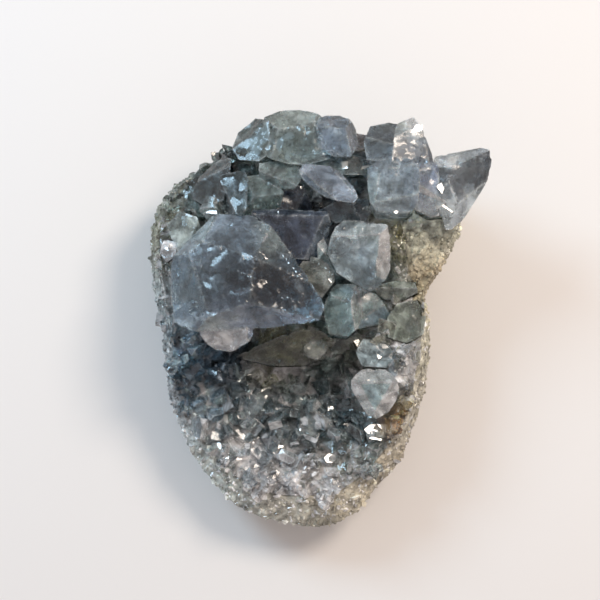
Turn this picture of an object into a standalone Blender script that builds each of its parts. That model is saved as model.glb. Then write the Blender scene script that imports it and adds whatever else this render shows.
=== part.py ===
"""A celestite geode: a piece of rind with a hollow, lined and overgrown by grey-blue crystals.

It lies on a small flat spot of its rind, crystals up. +Y is its long way, and the origin is
under the middle of its box, on the surface that it rests on. Numbers are millimetres until MM
turns them to metres.
"""
import math
import random

import bmesh
import bpy
import numpy as np
from mathutils import Matrix, Vector, noise

MM = 0.001
GAP = 0.3                 # clearance between pieces that touch
BLOCK = 300.0             # the raw block that a crystal is cut from

# The rock: where it is widest, how far it goes below the resting plane, and its lumps.
CENTRE = (-4.0, -2.0)
WIDEST = 14.0
BELOW_REST = 0.6
ROCK_SEGMENTS = 44
WALL_RINGS = 7
SHOULDER_RINGS = 2
BOWL_RINGS = 4
WALL_FULLNESS = 0.88      # below 1 the wall is fuller than a quarter of an ellipse
SHOULDER_RISE = 0.8       # below 1 the shoulder rises steeply and then levels off
ROCK_LUMPS = 1.5
HOLLOW_LUMPS = 0.4        # share of the lumps that is left in the hollow
LUMP_SIZE = 13.0

# The crust: how thick its bed is, and its small crystals.
CRUST_BED = 2.0
CRUST_BELOW = 1.6         # how far the bed goes below the rock's surface before it is cut away
CRUST_OVER_RIM = 0.3
CRUST_SEGMENTS = 28
CRUST_RINGS = 8
CRUST_SEED = 41
CRUST_SPACING = 6.3
RIM_MARGIN = 1.3          # how far inside the rim a small crystal keeps

# The sugary mound at the right, which has no crust: the angles it lies between, in radians from
# the rock's centre, and the share of the way to the rim that it takes.
MOUND_FROM = 0.15
MOUND_TO = 1.15
MOUND_SHARE = 0.32

# The rock's outline where it is widest, counter-clockwise from the right.
ROCK_OUTLINE = [
    (31, 0), (29.6, 8), (31.4, 13), (36.6, 17.6), (39.8, 22.4), (40.4, 29), (35.5, 37), (28, 45),
    (18, 48.5), (6, 51.5), (-5, 53.5), (-16, 53.5), (-25.5, 48.6), (-31.5, 44.6), (-36.5, 41.5),
    (-41.2, 37.5), (-45.6, 31), (-47, 22), (-45, 10), (-43.2, 0), (-42, -10.5), (-39.4, -23),
    (-36, -32.5), (-31.8, -40),
    (-25, -47.5), (-17, -52), (-9, -54.5), (0, -55.8), (8.5, -52.5), (15, -47), (21.5, -38),
    (25.5, -31), (28.5, -19), (30.2, -9),
]

# Heights of the rock's upper surface: x, y, height, reach.
HEIGHT_SPOTS = [
    (-44, 20, 24, 10), (-38, 30, 27, 10), (-26, 40, 25, 10), (-10, 46, 25, 12), (10, 44, 27, 12),
    (26, 36, 28, 10), (35, 22, 25, 8), (27, 18, 31, 11), (27, 3, 25, 9), (27, -12, 24, 8),
    (24, -28, 22, 8), (14, -43, 21, 9), (0, -49, 20, 10), (-18, -46, 20, 10), (-32, -34, 20, 9),
    (-38, -18, 21, 8), (-40, -2, 23, 8), (-25, 10, 24, 14), (0, 24, 24, 14), (10, 8, 15, 7),
    (-10, -18, 11, 12), (-6, -28, 12, 10), (8, -22, 14, 9), (-24, -22, 16, 9), (-4, -38, 18, 8),
]

# How wide the rind's shoulder is, from the widest line in to the rim, by compass angle.
SHOULDER_SPOTS = [(-90, 7.5), (-60, 5.5), (-20, 2.5), (20, 2.5), (60, 3), (110, 3), (150, 3.5),
                  (190, 2.5), (225, 4), (270, 7.5)]

COLOURS = {
    "host_rock": (0.30, 0.28, 0.23), "crystal_crust": (0.11, 0.12, 0.12),
    "great_crystal": (0.09, 0.12, 0.15), "dark_crystal": (0.06, 0.06, 0.09),
    "rib_crystals": (0.16, 0.15, 0.13), "blade_crystal": (0.15, 0.17, 0.18),
    "upper_left_crystals": (0.09, 0.11, 0.12), "top_crystals": (0.16, 0.19, 0.19),
    "top_right_crystals": (0.17, 0.20, 0.24), "corner_crystal": (0.24, 0.27, 0.29),
    "middle_crystal": (0.10, 0.12, 0.13), "pale_blue_crystal": (0.17, 0.21, 0.22),
    "ledge_crystal": (0.14, 0.15, 0.12), "cup_crystal": (0.17, 0.20, 0.21),
    "left_rim_crystals": (0.30, 0.31, 0.29), "right_rear_crystal": (0.24, 0.25, 0.23),
    "right_rim_crystal": (0.24, 0.25, 0.22), "right_front_crystal": (0.20, 0.22, 0.22),
}


def collection(name):
    made = bpy.data.collections.new(name)
    bpy.context.scene.collection.children.link(made)
    return made


def material(name, colour):
    made = bpy.data.materials.new(name)
    made.use_nodes = True
    shader = made.node_tree.nodes["Principled BSDF"]
    shader.inputs["Base Color"].default_value = (*colour, 1)
    shader.inputs["Roughness"].default_value = 0.75 if name == "host_rock" else 0.12
    shader.inputs["Metallic"].default_value = 0
    return made


def object_from(bm, name, where):
    """A mesh object from a bmesh in millimetres."""
    bmesh.ops.scale(bm, vec=(MM, MM, MM), verts=bm.verts)
    bmesh.ops.recalc_face_normals(bm, faces=bm.faces)
    mesh = bpy.data.meshes.new(name)
    bm.to_mesh(mesh)
    bm.free()
    made = bpy.data.objects.new(name, mesh)
    where.objects.link(made)
    return made


# Crystals: blocks cut by planes

def facet(a, b, c):
    """The plane through three corners, facing up, as a point and a normal."""
    a, b, c = Vector(a), Vector(b), Vector(c)
    normal = (b - a).cross(c - a).normalized()
    return a, normal if normal.z > 0 else -normal


def walls(outline, rim, lean):
    """Planes through an outline's edges at height rim, leaning in towards the root by lean degrees."""
    angle = math.radians(lean)
    made = []
    for (ax, ay), (bx, by) in zip(outline, outline[1:] + outline[:1]):
        outward = Vector((by - ay, ax - bx, 0)).normalized()
        made.append((Vector((ax, ay, rim)), outward * math.cos(angle) - Vector((0, 0,
                                                                                math.sin(angle)))))
    return made


def cut_block(planes, grow=0.0):
    """The convex body inside all the planes, each moved outward by grow."""
    bm = bmesh.new()
    bmesh.ops.create_cube(bm, size=BLOCK)
    for point, normal in planes:
        everything = bm.verts[:] + bm.edges[:] + bm.faces[:]
        bmesh.ops.bisect_plane(bm, geom=everything, dist=1e-5, plane_co=point + normal * grow,
                               plane_no=normal, clear_outer=True)
        open_edges = [edge for edge in bm.edges if edge.is_boundary]
        if open_edges:
            bmesh.ops.holes_fill(bm, edges=open_edges, sides=0)
    bmesh.ops.dissolve_degenerate(bm, dist=1e-4, edges=bm.edges)
    return bm


def crystal(outline, rim, root, facets, lean=8):
    """A crystal's planes: its outline at height rim, its root's height, and its facets' corners."""
    planes = walls(outline, rim, lean)
    planes.append((Vector((0, 0, root)), Vector((0, 0, -1))))
    planes += [facet(*corners) for corners in facets]
    return planes


def habit(width, depth, height, tip, chisel):
    """A small crystal along +Z: a prism with two cut edges and a chisel tip with a cut corner."""
    planes = [
        (Vector((width, 0, 0)), Vector((1, 0, 0))), (Vector((-width, 0, 0)), Vector((-1, 0, 0))),
        (Vector((0, depth, 0)), Vector((0, 1, 0))), (Vector((0, -depth, 0)), Vector((0, -1, 0))),
        (Vector((0.72 * width, 0.72 * depth, 0)), Vector((0.8, 1, 0)).normalized()),
        (Vector((0, chisel * depth, height)), Vector((0, math.sin(tip), math.cos(tip)))),
        (Vector((0, chisel * depth, height)), Vector((0.25, -math.sin(tip),
                                                      math.cos(tip))).normalized()),
        (Vector((0.3 * width, 0, 0.96 * height)), Vector((0.75, 0.2, 0.7)).normalized()),
        (Vector((0, 0, -0.7 * height)), Vector((0, 0, -1))),
    ]
    return planes


def placed(planes, matrix):
    """Planes carried by a rotation and a move."""
    turn = matrix.to_3x3()
    return [(matrix @ point, turn @ normal) for point, normal in planes]


# The rock's surfaces

def upper_surface(x, y):
    """Height of the rock's upper surface, blended from the named heights around."""
    total, weight = 0.0, 0.0
    for sx, sy, height, reach in HEIGHT_SPOTS:
        nearness = math.exp(-((x - sx) ** 2 + (y - sy) ** 2) / (2 * reach * reach)) + 1e-7
        total += nearness * height
        weight += nearness
    return total / weight


def outline_radius(angle):
    """Distance from the rock's centre to its outline, at an angle in radians."""
    polar = sorted((math.atan2(y - CENTRE[1], x - CENTRE[0]), math.hypot(x - CENTRE[0], y - CENTRE[1]))
                   for x, y in ROCK_OUTLINE)
    angles = [a for a, _ in polar]
    radii = [r for _, r in polar]
    return float(np.interp(angle, angles, radii, period=2 * math.pi))


def shoulder(angle):
    degrees = (math.degrees(angle) + 90) % 360 - 90
    angles = [a for a, _ in SHOULDER_SPOTS]
    return float(np.interp(degrees, angles, [w for _, w in SHOULDER_SPOTS]))


def lumps(point, amount, size):
    return amount * noise.fractal(Vector(point) / size, 0.9, 2.1, 3, noise_basis="PERLIN_ORIGINAL")


def at_angle(angle, radius):
    return CENTRE[0] + radius * math.cos(angle), CENTRE[1] + radius * math.sin(angle)


def rock_body(raise_by):
    """The rock as a sphere whose rings are moved to its wall, its shoulder and its hollow."""
    rings = WALL_RINGS + SHOULDER_RINGS + BOWL_RINGS
    bm = bmesh.new()
    bmesh.ops.create_uvsphere(bm, u_segments=ROCK_SEGMENTS, v_segments=rings, radius=1.0)
    for vert in bm.verts:
        angle = math.atan2(vert.co.y, vert.co.x)
        ring = round((math.asin(max(-1, min(1, vert.co.z))) / math.pi + 0.5) * rings)
        reach = outline_radius(angle)
        rim = reach - shoulder(angle)
        if ring <= WALL_RINGS:
            share = ring / WALL_RINGS
            radius = reach * math.sin(share * math.pi / 2) ** WALL_FULLNESS
            height = WIDEST - (WIDEST + BELOW_REST) * math.cos(share * math.pi / 2) ** WALL_FULLNESS
        elif ring <= WALL_RINGS + SHOULDER_RINGS:
            share = (ring - WALL_RINGS) / SHOULDER_RINGS
            radius = reach + (rim - reach) * share
            rise = upper_surface(*at_angle(angle, rim)) - WIDEST
            height = WIDEST + rise * share ** SHOULDER_RISE
        else:
            share = (rings - ring) / BOWL_RINGS
            radius = rim * share
            height = upper_surface(*at_angle(angle, radius))
        if ring in (0, rings):
            radius = 0.0
        x, y = at_angle(angle, radius)
        push = lumps((x, y, height), ROCK_LUMPS, LUMP_SIZE)
        inner = ring > WALL_RINGS + SHOULDER_RINGS
        if inner:
            vert.co = (x, y, height + HOLLOW_LUMPS * push + raise_by)
        else:
            edge = 1 + push / max(reach, 1)
            x, y = at_angle(angle, radius * edge + raise_by)
            vert.co = (x, y, height + (raise_by if ring > WALL_RINGS else 0))
    bmesh.ops.triangulate(bm, faces=bm.faces, quad_method="FIXED")
    return bm


def flatten_base(bm):
    """Cuts the rock flat where it rests."""
    everything = bm.verts[:] + bm.edges[:] + bm.faces[:]
    bmesh.ops.bisect_plane(bm, geom=everything, dist=1e-4, plane_co=(0, 0, 0),
                           plane_no=(0, 0, -1), clear_outer=True)
    bmesh.ops.holes_fill(bm, edges=[edge for edge in bm.edges if edge.is_boundary], sides=0)


# Large crystals, in the order in which they keep their full shape: a later one gives way.

def great_crystal():
    main = crystal(
        [(-39, -2.5), (-32, -4.6), (-20, -4.4), (-13, -3.6), (-1, -3.2), (1.7, 1), (1, 4.5),
         (-7.2, 14.3),
         (-12, 21), (-17.5, 25.2), (-29, 26), (-33.5, 20.5), (-38.5, 15.5), (-39.5, 5)],
        36, 17,
        [((-34, 15, 41.5), (-16, 14, 46), (-21, 2, 45)),
         ((-29, 26, 38), (-17.5, 25.2, 39), (-25, 15, 44.5)),
         ((-34, 15, 41.5), (-32, 3, 41), (-39, 0, 34)),
         ((-16, 13, 45.5), (-15, 4, 44.5), (1, 4.5, 37)),
         ((-16, 15, 45), (-12, 21, 41), (-7.2, 14.3, 40)),
         ((-13, -3.6, 37.5), (-1, -3.2, 35.5), (-15, 1.5, 45)),
         ((-33, 20, 38), (-35, 15, 41), (-38.5, 15.5, 37))], lean=16)
    tongue = crystal(
        [(-30.6, 3), (-31, -4.2), (-29.4, -7.6), (-27, -9.4), (-23, -10), (-18, -6.5), (-16.8, -0.3),
         (-20, 4),
         (-27, 5)],
        34, 18,
        [((-32, 3, 41.6), (-20, 2, 43.6), (-24, -10, 36)),
         ((-33, 2, 41.2), (-20, 3, 42.6), (-27, 7, 38)),
         ((-18, -6.5, 36.5), (-20, -1, 41), (-17, 0, 38)),
         ((-31.6, -4.5, 37), (-31.4, 2, 41), (-29.6, -8, 35))], lean=18)
    return [main, tongue]


def middle_crystal():
    return [crystal(
        [(2.5, 16), (5, 11), (9, 8.5), (14, 6), (17.5, 8.3), (19.2, 12), (18.7, 18), (17.5, 22.7),
         (12, 24.4),
         (7, 25.2), (4.8, 23), (3.6, 19.5)],
        35, 19,
        [((5, 19.5, 38.5), (16, 20.5, 41), (9, 8.5, 35.5)),
         ((5, 20.5, 38.5), (15, 20.6, 40.6), (8, 25, 36)),
         ((17.5, 8.3, 35), (17, 20, 40), (19.2, 12, 35)),
         ((14, 6, 35), (17.5, 8.3, 34.5), (15.5, 10, 37.5))], lean=10)]


def corner_crystal():
    return [crystal(
        [(31.5, 36), (32, 27), (32, 22.6), (36, 22.7), (39, 25), (40.5, 27), (43, 32.7), (44.8, 36.5),
         (45, 41),
         (44.2, 42.8), (43, 43.4), (30.5, 41.5)],
        34, 22,
        [((35, 38, 41.5), (44, 42.8, 39), (37, 29, 38)),
         ((35, 38, 41.5), (44, 42.8, 39), (30.5, 41.5, 37)),
         ((37, 29, 38), (43, 32.7, 35.5), (36, 23, 32)),
         ((32, 35.7, 39.5), (35, 38, 41.5), (33.5, 33.7, 40)),
         ((33.5, 33.7, 40), (37, 29, 38), (33, 27, 36))], lean=20)]


def top_right_crystals():
    rear_left = crystal(
        [(13, 41), (22, 40), (24, 45), (21.4, 51), (19, 52), (14, 50.5), (12.5, 46)], 36, 24,
        [((13, 42, 40), (22, 41, 42), (20, 50, 39.5)), ((13, 46, 39.5), (14, 50, 37), (17, 44, 41)),
         ((19, 52, 37), (21.4, 51, 37.5), (18, 48, 40))], lean=6)
    rear_right = crystal(
        [(20, 40), (26, 37.5), (32, 37.5), (30.5, 41), (29.5, 45), (28.7, 50), (27.5, 52.5), (25, 52.6),
         (21, 50.5)], 37, 24,
        [((22, 41, 43), (30, 41, 41), (26, 50, 41.5)),
         ((21, 50.5, 39), (27.5, 52.5, 38.5), (25, 49, 41.5)),
         ((31, 40, 39), (29, 48, 39.5), (28.5, 43, 41.5))], lean=6)
    front = crystal(
        [(13, 33), (13.6, 29), (15.2, 26.6), (19, 26), (24, 26.4), (26, 28), (26.4, 35), (26, 38.6),
         (22, 41),
         (16, 40.2), (13, 38)], 40, 23,
        [((14, 36, 43), (25, 36, 44.5), (20, 28, 43)), ((14, 30, 41.5), (14.5, 38, 42), (16, 33, 43.4)),
         ((16, 27, 41), (24, 27.4, 41.5), (20, 30, 43.6)),
         ((14, 39, 41.5), (22, 40.6, 42.5), (18, 37, 44))],
        lean=4)
    side = crystal(
        [(25.6, 28), (30, 26), (34, 26.5), (37, 29), (34.4, 33.5), (32.6, 36.3), (31.5, 39),
         (26, 38.6)], 36, 23,
        [((26, 34, 41.5), (32, 36, 40), (27, 38, 42)),
         ((26.5, 33.5, 41.2), (32.5, 33, 40), (29, 27, 37.5)),
         ((33, 31.2, 39.4), (36.8, 29, 37.2), (32, 33.6, 40)),
         ((30, 26, 35), (34, 26.6, 35.4), (32, 31, 39.4))],
        lean=8)
    return [rear_left, rear_right, front, side]


def dark_crystal():
    main = crystal(
        [(-18, 24), (-9, 15), (0, 14.5), (2, 19), (3.3, 24), (2.5, 27), (-9, 27.8), (-17, 27.2)], 34,
        20,
        [((-17, 27, 39), (0, 26, 38.5), (-6, 16, 36)), ((-2, 19, 37), (1.5, 25, 38), (3.2, 21, 34)),
         ((-17, 27.2, 38), (2, 27, 37.4), (-8, 25.5, 39))], lean=5)

    pit = crystal([(-10.6, 28), (-9, 26.6), (-3, 26.6), (-1.4, 30), (-4, 34.6), (-8, 35), (-10.8, 32)],
                  28, 20,
                  [((-10, 29, 31.5), (-3, 29, 30), (-6, 34, 32)),
                   ((-4, 27.4, 29), (-2, 31, 29.5), (-5, 30, 30.6))])
    wall = crystal([(1, 27.6), (4.6, 25), (12.6, 25.6), (14.4, 28), (13.6, 31), (7, 30.6)], 32, 20,
                   [((3, 28, 35.5), (12, 28.6, 34.5), (8, 25.6, 33.6)),
                    ((12, 26, 33), (14, 29, 33), (10, 28, 34.6))])
    return [main, pit, wall]


def blade_crystal():
    return [crystal(
        [(-4.6, 36.6), (-3.8, 34.4), (-1, 32), (2.5, 30), (9, 29.2), (10, 30.5), (9.5, 33), (7, 35.6),
         (5.5, 36.8), (-3.8, 37.8)], 40.5, 27,
        [((-3, 36.5, 42.5), (5, 36, 43), (8, 30, 42)),
         ((-4, 35.6, 41), (2.5, 30.3, 40.6), (0, 33.6, 42.4)),
         ((6, 36.3, 41.6), (9.8, 32, 41), (7.4, 33.4, 42.6))], lean=24)]


def upper_left_crystals():
    mirror = crystal(
        [(-31.5, 28), (-29.5, 25.6), (-25.4, 26), (-24.6, 28), (-27, 31), (-29.6, 31)], 33, 22,
        [((-31, 28.4, 36), (-27.2, 28.2, 37.6), (-27.6, 30.4, 37.2)),
         ((-27.2, 28.2, 37.6), (-25, 28, 35), (-27.4, 30.6, 37)),
         ((-31, 28, 35.6), (-27, 28, 37.4), (-28, 26, 35))])
    slab = crystal(
        [(-26, 30), (-24, 25.6), (-21, 26), (-19.7, 28), (-19.2, 36), (-20, 38), (-25.6, 37)], 34, 22,
        [((-25, 35, 37), (-20, 36, 38), (-22, 27, 38.5)),
         ((-25.8, 31, 36), (-24, 26, 36.5), (-24, 33, 38))])
    green = crystal(
        [(-20, 26.6), (-13, 27), (-10.3, 29), (-9.8, 32), (-12, 35.6), (-15, 37.2), (-20, 36.4)], 34,
        22,
        [((-19, 34, 38), (-12, 34, 38), (-16, 30, 40)),
         ((-19, 28, 37), (-12, 28.6, 36.5), (-15, 31, 39.6)),
         ((-19.6, 34, 37), (-19.6, 28, 37), (-17, 31, 39.4))])
    crown = crystal(
        [(-15.4, 36), (-11, 33.6), (-6.5, 33.6), (-4.6, 36.6), (-5.6, 39), (-10, 41), (-15.6, 40.4)],
        35, 23,
        [((-15, 38, 38), (-6, 38.6, 38.4), (-9, 34.6, 40.6)),
         ((-15, 36, 37), (-11, 34, 38.4), (-12, 37, 39.8))])
    flank = crystal(
        [(-33.6, 32), (-30, 29.6), (-26, 31), (-24.4, 38), (-24, 42), (-25.4, 43.6), (-32, 38)], 30, 20,
        [((-32, 33, 33), (-26, 33, 36.4), (-27, 41, 34)),
         ((-32, 38, 31), (-26, 43, 31.5), (-28, 37, 35))])
    return [mirror, slab, green, crown, flank]


def top_crystals():
    round_left = crystal(
        [(-23, 45.5), (-21, 42.3), (-16, 41.8), (-13.6, 44), (-13.8, 52), (-17, 54), (-21.8, 50.6)], 31,
        20,
        [((-20, 44, 34), (-15, 44, 36), (-17, 50, 34.5)),
         ((-21.6, 47, 32.5), (-17, 52.4, 32.5), (-17, 49, 35))])
    big = crystal(
        [(-15.4, 45), (-13, 42.4), (-8, 40.8), (-3, 40.5), (2.4, 42), (4.4, 46), (3, 51.4), (0, 54),
         (-4.8, 56.2), (-10, 56.5), (-14.6, 54)], 34, 22,
        [((-12, 44, 38), (1, 44, 39.5), (-5, 50, 38)), ((-13, 52, 35), (-2, 54.4, 35), (-6, 50, 38)),
         ((-15, 46, 35), (-13, 50, 35.5), (-11, 46, 38.2)),
         ((3.6, 45, 37), (2, 50, 36), (0, 46, 39.2))], lean=12)
    blue = crystal(
        [(0, 50), (1, 44.6), (4, 42.4), (8, 42), (10.4, 45), (10, 49.6), (8.6, 52.2), (6, 53.7),
         (2, 53.7),
         (0.2, 52.4)], 36, 23,
        [((1.4, 46, 40), (8.6, 46, 41), (5, 50, 40)), ((1, 52, 37.5), (8, 52, 37.5), (4.6, 49, 40.4)),
         ((9, 50, 38), (10.2, 45, 38.6), (7.6, 47, 40.8))], lean=10)
    brown = crystal([(9, 45.6), (13.6, 46), (13.4, 49), (9.4, 49.6)], 31, 22,
                    [((9, 46, 33.5), (13.4, 46.4, 33), (11, 49.4, 32.4))])
    shelf = crystal(
        [(-5, 39.4), (5, 37.6), (13.4, 37.6), (13.6, 42), (5, 43), (-3, 41.6)], 34, 22,
        [((-3, 40, 37), (12, 41, 37.4), (5, 38.4, 37.8)),
         ((5.4, 40.4, 37.5), (12, 38.4, 37), (10, 42.6, 36))])
    return [round_left, big, blue, brown, shelf]


def rib_crystals():
    brown = crystal(
        [(-4.4, 13), (-3, 10), (-0.6, 6.6), (1, 5), (4.2, 9.4), (3.8, 11.8), (0.4, 14.2), (-3, 15)], 30,
        18,
        [((-3.6, 13, 34), (0, 13.4, 34.4), (0.8, 6, 31)),
         ((1, 5.6, 30.8), (3.6, 11, 33), (0, 10, 33.6))])
    rib = crystal([(0, 15.2), (2, 12.8), (5, 10.8), (5, 13), (2.8, 17), (1.6, 20), (0.2, 18.6)], 33, 20,
                  [((0.6, 16, 36), (4.6, 11.8, 35), (2.4, 17, 35.6)),
                   ((0.2, 15.4, 34.6), (4.6, 11.2, 34), (1, 17, 36))])
    return [brown, rib]


def pale_blue_crystal():
    main = crystal(
        [(1.7, 0), (3, -4.5), (8, -5.2), (10.6, -3), (12, 1), (12.4, 6), (10, 8.8), (5, 9), (3, 6.5),
         (1.8, 3)], 28, 14,
        [((3, 5, 30.5), (4, -4, 29.5), (9, 1, 32)), ((9.4, 7, 31), (10.6, -2, 30.4), (9, 2, 32)),
         ((4, 8, 29.6), (10, 8.2, 30), (7, 4.6, 31.6))], lean=4)
    wing = crystal([(11, -2.6), (16, -1.6), (19.6, 1), (17.4, 4), (15, 6.6), (11.4, 8.2)], 25, 14,
                   [((11.6, 6.6, 29), (17, 3.6, 27.4), (12.4, -1.6, 28)),
                    ((12, -2, 27.6), (18.6, 1, 26), (15, 2.6, 28))])
    return [main, wing]


def cup_crystal():
    return [crystal(
        [(9, -19.6), (11, -22.6), (12.8, -26), (16, -26.7), (19, -25.2), (21, -22), (21.6, -19),
         (20, -15.5),
         (18, -13.8), (14, -13.4), (11, -13.9), (9, -17)], 25, 12,
        [((11, -17.5, 27), (19.6, -18, 27.6), (14.4, -25, 26.4)),
         ((10, -16.6, 26.4), (18.8, -15.4, 26.6), (14, -18, 27.4)),
         ((9.4, -19.6, 25.6), (12.9, -25.6, 25.2), (12, -19, 27)),
         ((17.4, -22.6, 26.6), (20.8, -20.6, 26), (19, -25, 25))],
        lean=10)]


def ledge_crystal():
    ledge = crystal(
        [(-22.5, -9.8), (-12, -12.4), (-4, -12.2), (3, -9.8), (4.4, -5.6), (-1, -3.4), (-9, -4.4),
         (-15, -7)], 20, 12,
        [((-21, -9.8, 22), (3, -9, 22), (-6, -5, 24.4)),
         ((-12, -12, 20.4), (-2, -11.8, 20.4), (-6, -8, 23))])
    lens = crystal(
        [(-4, -8.6), (-3.6, -10), (-0.6, -11), (1.8, -9.8), (2.8, -7.6), (1.4, -5.6), (-1, -5),
         (-3, -6)], 23.6, 15,
        [((-3.4, -8, 25), (2, -7.4, 25.6), (-0.6, -10.4, 24.6)),
         ((-3, -6.4, 25), (1, -5.8, 25), (-1, -7.4, 25.9))])
    return [ledge, lens]


def left_rim_crystals():
    pale = crystal(
        [(-40.5, 25), (-38.8, 20), (-37, 17), (-33, 17.2), (-30.8, 21.5), (-33, 26), (-37, 27.8)], 29,
        20,
        [((-39, 24, 31), (-34, 25, 33), (-36, 18, 31.5)),
         ((-34, 18.4, 31.6), (-31.4, 21.6, 31.6), (-34, 22, 33))])
    white = crystal([(-42.4, 17.4), (-40.6, 15.2), (-38.6, 16.8), (-38.6, 20.5), (-41.4, 21)], 27, 18,
                    [((-42, 18, 29), (-39, 20, 30.5), (-40, 16, 29.6)),
                     ((-41.6, 20.6, 28.6), (-39, 20.4, 29.6), (-40, 18, 30.6))])
    return [pale, white]


def right_rear_crystal():
    return [crystal([(14.6, 6.6), (18.6, 5), (23, 5), (26.6, 7), (26, 9.6), (21, 10.4), (17, 8.8)], 26,
                    18,
                    [((16, 7, 28), (25, 8, 28.4), (20, 5.6, 27)),
                     ((18, 8.8, 28), (25, 9.2, 27.4), (21, 7.6, 28.8))])]


def right_rim_crystal():
    return [crystal([(19, -5), (24, -6.6), (28.6, -4), (29.4, 1), (26.6, 4.6), (21.6, 3.4), (19, 0)],
                    25, 17,
                    [((20.6, -3, 27), (27.8, -3, 26), (24, 2.6, 28)),
                     ((27, -4, 26), (28.8, 2, 25), (25.4, 1, 27.6))])]


def right_front_crystal():
    return [crystal([(12.4, -6), (19, -6.6), (21, -10.6), (18.6, -13), (12, -12.6), (10.4, -9)][::-1],
                    23, 14,
                    [((12.6, -7, 26), (19.4, -8, 25.4), (14, -12, 24.4)),
                     ((17, -6.8, 25), (20.6, -10.4, 24.2), (16, -9, 25.7))])]


LARGE_CRYSTALS = [
    ("great_crystal", great_crystal), ("corner_crystal", corner_crystal),
    ("top_right_crystals", top_right_crystals), ("blade_crystal", blade_crystal),
    ("middle_crystal", middle_crystal), ("dark_crystal", dark_crystal),
    ("upper_left_crystals", upper_left_crystals), ("top_crystals", top_crystals),
    ("rib_crystals", rib_crystals), ("pale_blue_crystal", pale_blue_crystal),
    ("cup_crystal", cup_crystal), ("ledge_crystal", ledge_crystal),
    ("left_rim_crystals", left_rim_crystals), ("right_rear_crystal", right_rear_crystal),
    ("right_rim_crystal", right_rim_crystal), ("right_front_crystal", right_front_crystal),
]

# Crust crystals that the eye picks out: x, y, lean towards (degrees of azimuth), lean, width, height.
NAMED_SMALL = [
    (15.6, -30.4, -60, 22, 3.1, 4.2), (-25, -29.6, 80, 25, 3.2, 4.0), (-16, -36, 200, 24, 3.4, 3.6),
    (-10.6, -36.6, 90, 30, 2.2, 3.6), (-5, -30, 120, 10, 3.6, 3.2), (3.2, -38, 45, 14, 2.1, 3.4),
    (-14, -43, 250, 26, 4.6, 4.2), (-4, -44, 270, 20, 4.2, 4.0), (2.6, -45.6, 280, 24, 3.8, 3.2),
    (11, -37, 320, 24, 3.4, 4.0), (14, -40, 330, 28, 2.6, 3.0), (-25, -37, 225, 28, 3.2, 3.4),
    (-36, -16, 180, 24, 3.2, 3.6), (-33, -24, 190, 24, 3.4, 4.2), (-28, -14, 150, 20, 3.4, 4.6),
    (-15, -15, 90, 18, 2.6, 4.4), (-9, -10.6, 100, 20, 2.2, 4.2), (21, -13, 20, 26, 2.4, 4.0),
    (23, -22, 20, 26, 2.2, 3.8), (24, -9, 10, 18, 2.8, 3.6), (8, -13, 60, 22, 2.8, 4.2),
    (-9, -22, 300, 16, 3.0, 4.2), (4, -24, 200, 14, 2.4, 3.8), (-18, -24, 130, 20, 2.8, 4.4),
    (-41, 5, 180, 12, 1.7, 3.4),
]


def on_slope(x, y, azimuth, lean, spin):
    """A place on the rock's upper surface, with +Z leaning by lean degrees towards an azimuth."""
    tilt = Matrix.Rotation(math.radians(azimuth), 4, "Z") @ Matrix.Rotation(math.radians(lean), 4, "Y")
    return Matrix.Translation((x, y, upper_surface(x, y))) @ tilt @ Matrix.Rotation(spin, 4, "Z")


def inside_outline(x, y, margin):
    """Whether a point lies inside the rock's rim by a margin."""
    angle = math.atan2(y - CENTRE[1], x - CENTRE[0])
    return math.hypot(x - CENTRE[0], y - CENTRE[1]) < outline_radius(angle) - shoulder(angle) - margin


def on_mound(x, y):
    """Whether a point lies on the sugary mound at the right, which has no crust."""
    return x > 19 and y > 8


def covered(x, y):
    """Whether a large crystal stands over a place on the crust."""
    point = Vector((x, y, upper_surface(x, y) + 3))
    return any(all((point - on).dot(normal) < 0 for on, normal in planes)
               for _, make in LARGE_CRYSTALS for planes in make())


def small_crystals():
    """The crust's crystals: those that the eye picks out, and others strewn between them."""
    rng = random.Random(CRUST_SEED)
    made, taken = [], []
    for x, y, azimuth, lean, width, height in NAMED_SMALL:
        place = on_slope(x, y, azimuth, lean, rng.uniform(0, math.pi))
        made.append(placed(habit(width, width * 0.8, height, 0.85, rng.uniform(-0.3, 0.3)), place))
        taken.append((x, y, width))
    columns = range(-9, 8)
    rows = range(-12, 11)
    for column, row in ((column, row) for column in columns for row in rows):
        x = (column + 0.5 * (row % 2) + rng.uniform(-0.28, 0.28)) * CRUST_SPACING
        y = (0.87 * row + rng.uniform(-0.25, 0.25)) * CRUST_SPACING
        width = rng.uniform(2.3, 3.7)
        crowded = any(math.hypot(x - tx, y - ty) < 0.62 * (width + tw) for tx, ty, tw in taken)
        if crowded or on_mound(x, y) or not inside_outline(x, y, RIM_MARGIN) or covered(x, y):
            continue
        inward = math.degrees(math.atan2(-20 - y, -6 - x))
        place = on_slope(x, y, inward + rng.uniform(-70, 70), rng.uniform(4, 30),
                         rng.uniform(0, math.pi))
        planes = habit(width, width * rng.uniform(0.6, 0.95), rng.uniform(3.0, 5.2),
                       rng.uniform(0.7, 1.0),
                       rng.uniform(-0.4, 0.4))
        made.append(placed(planes, place))
        taken.append((x, y, width))
    return made


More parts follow.
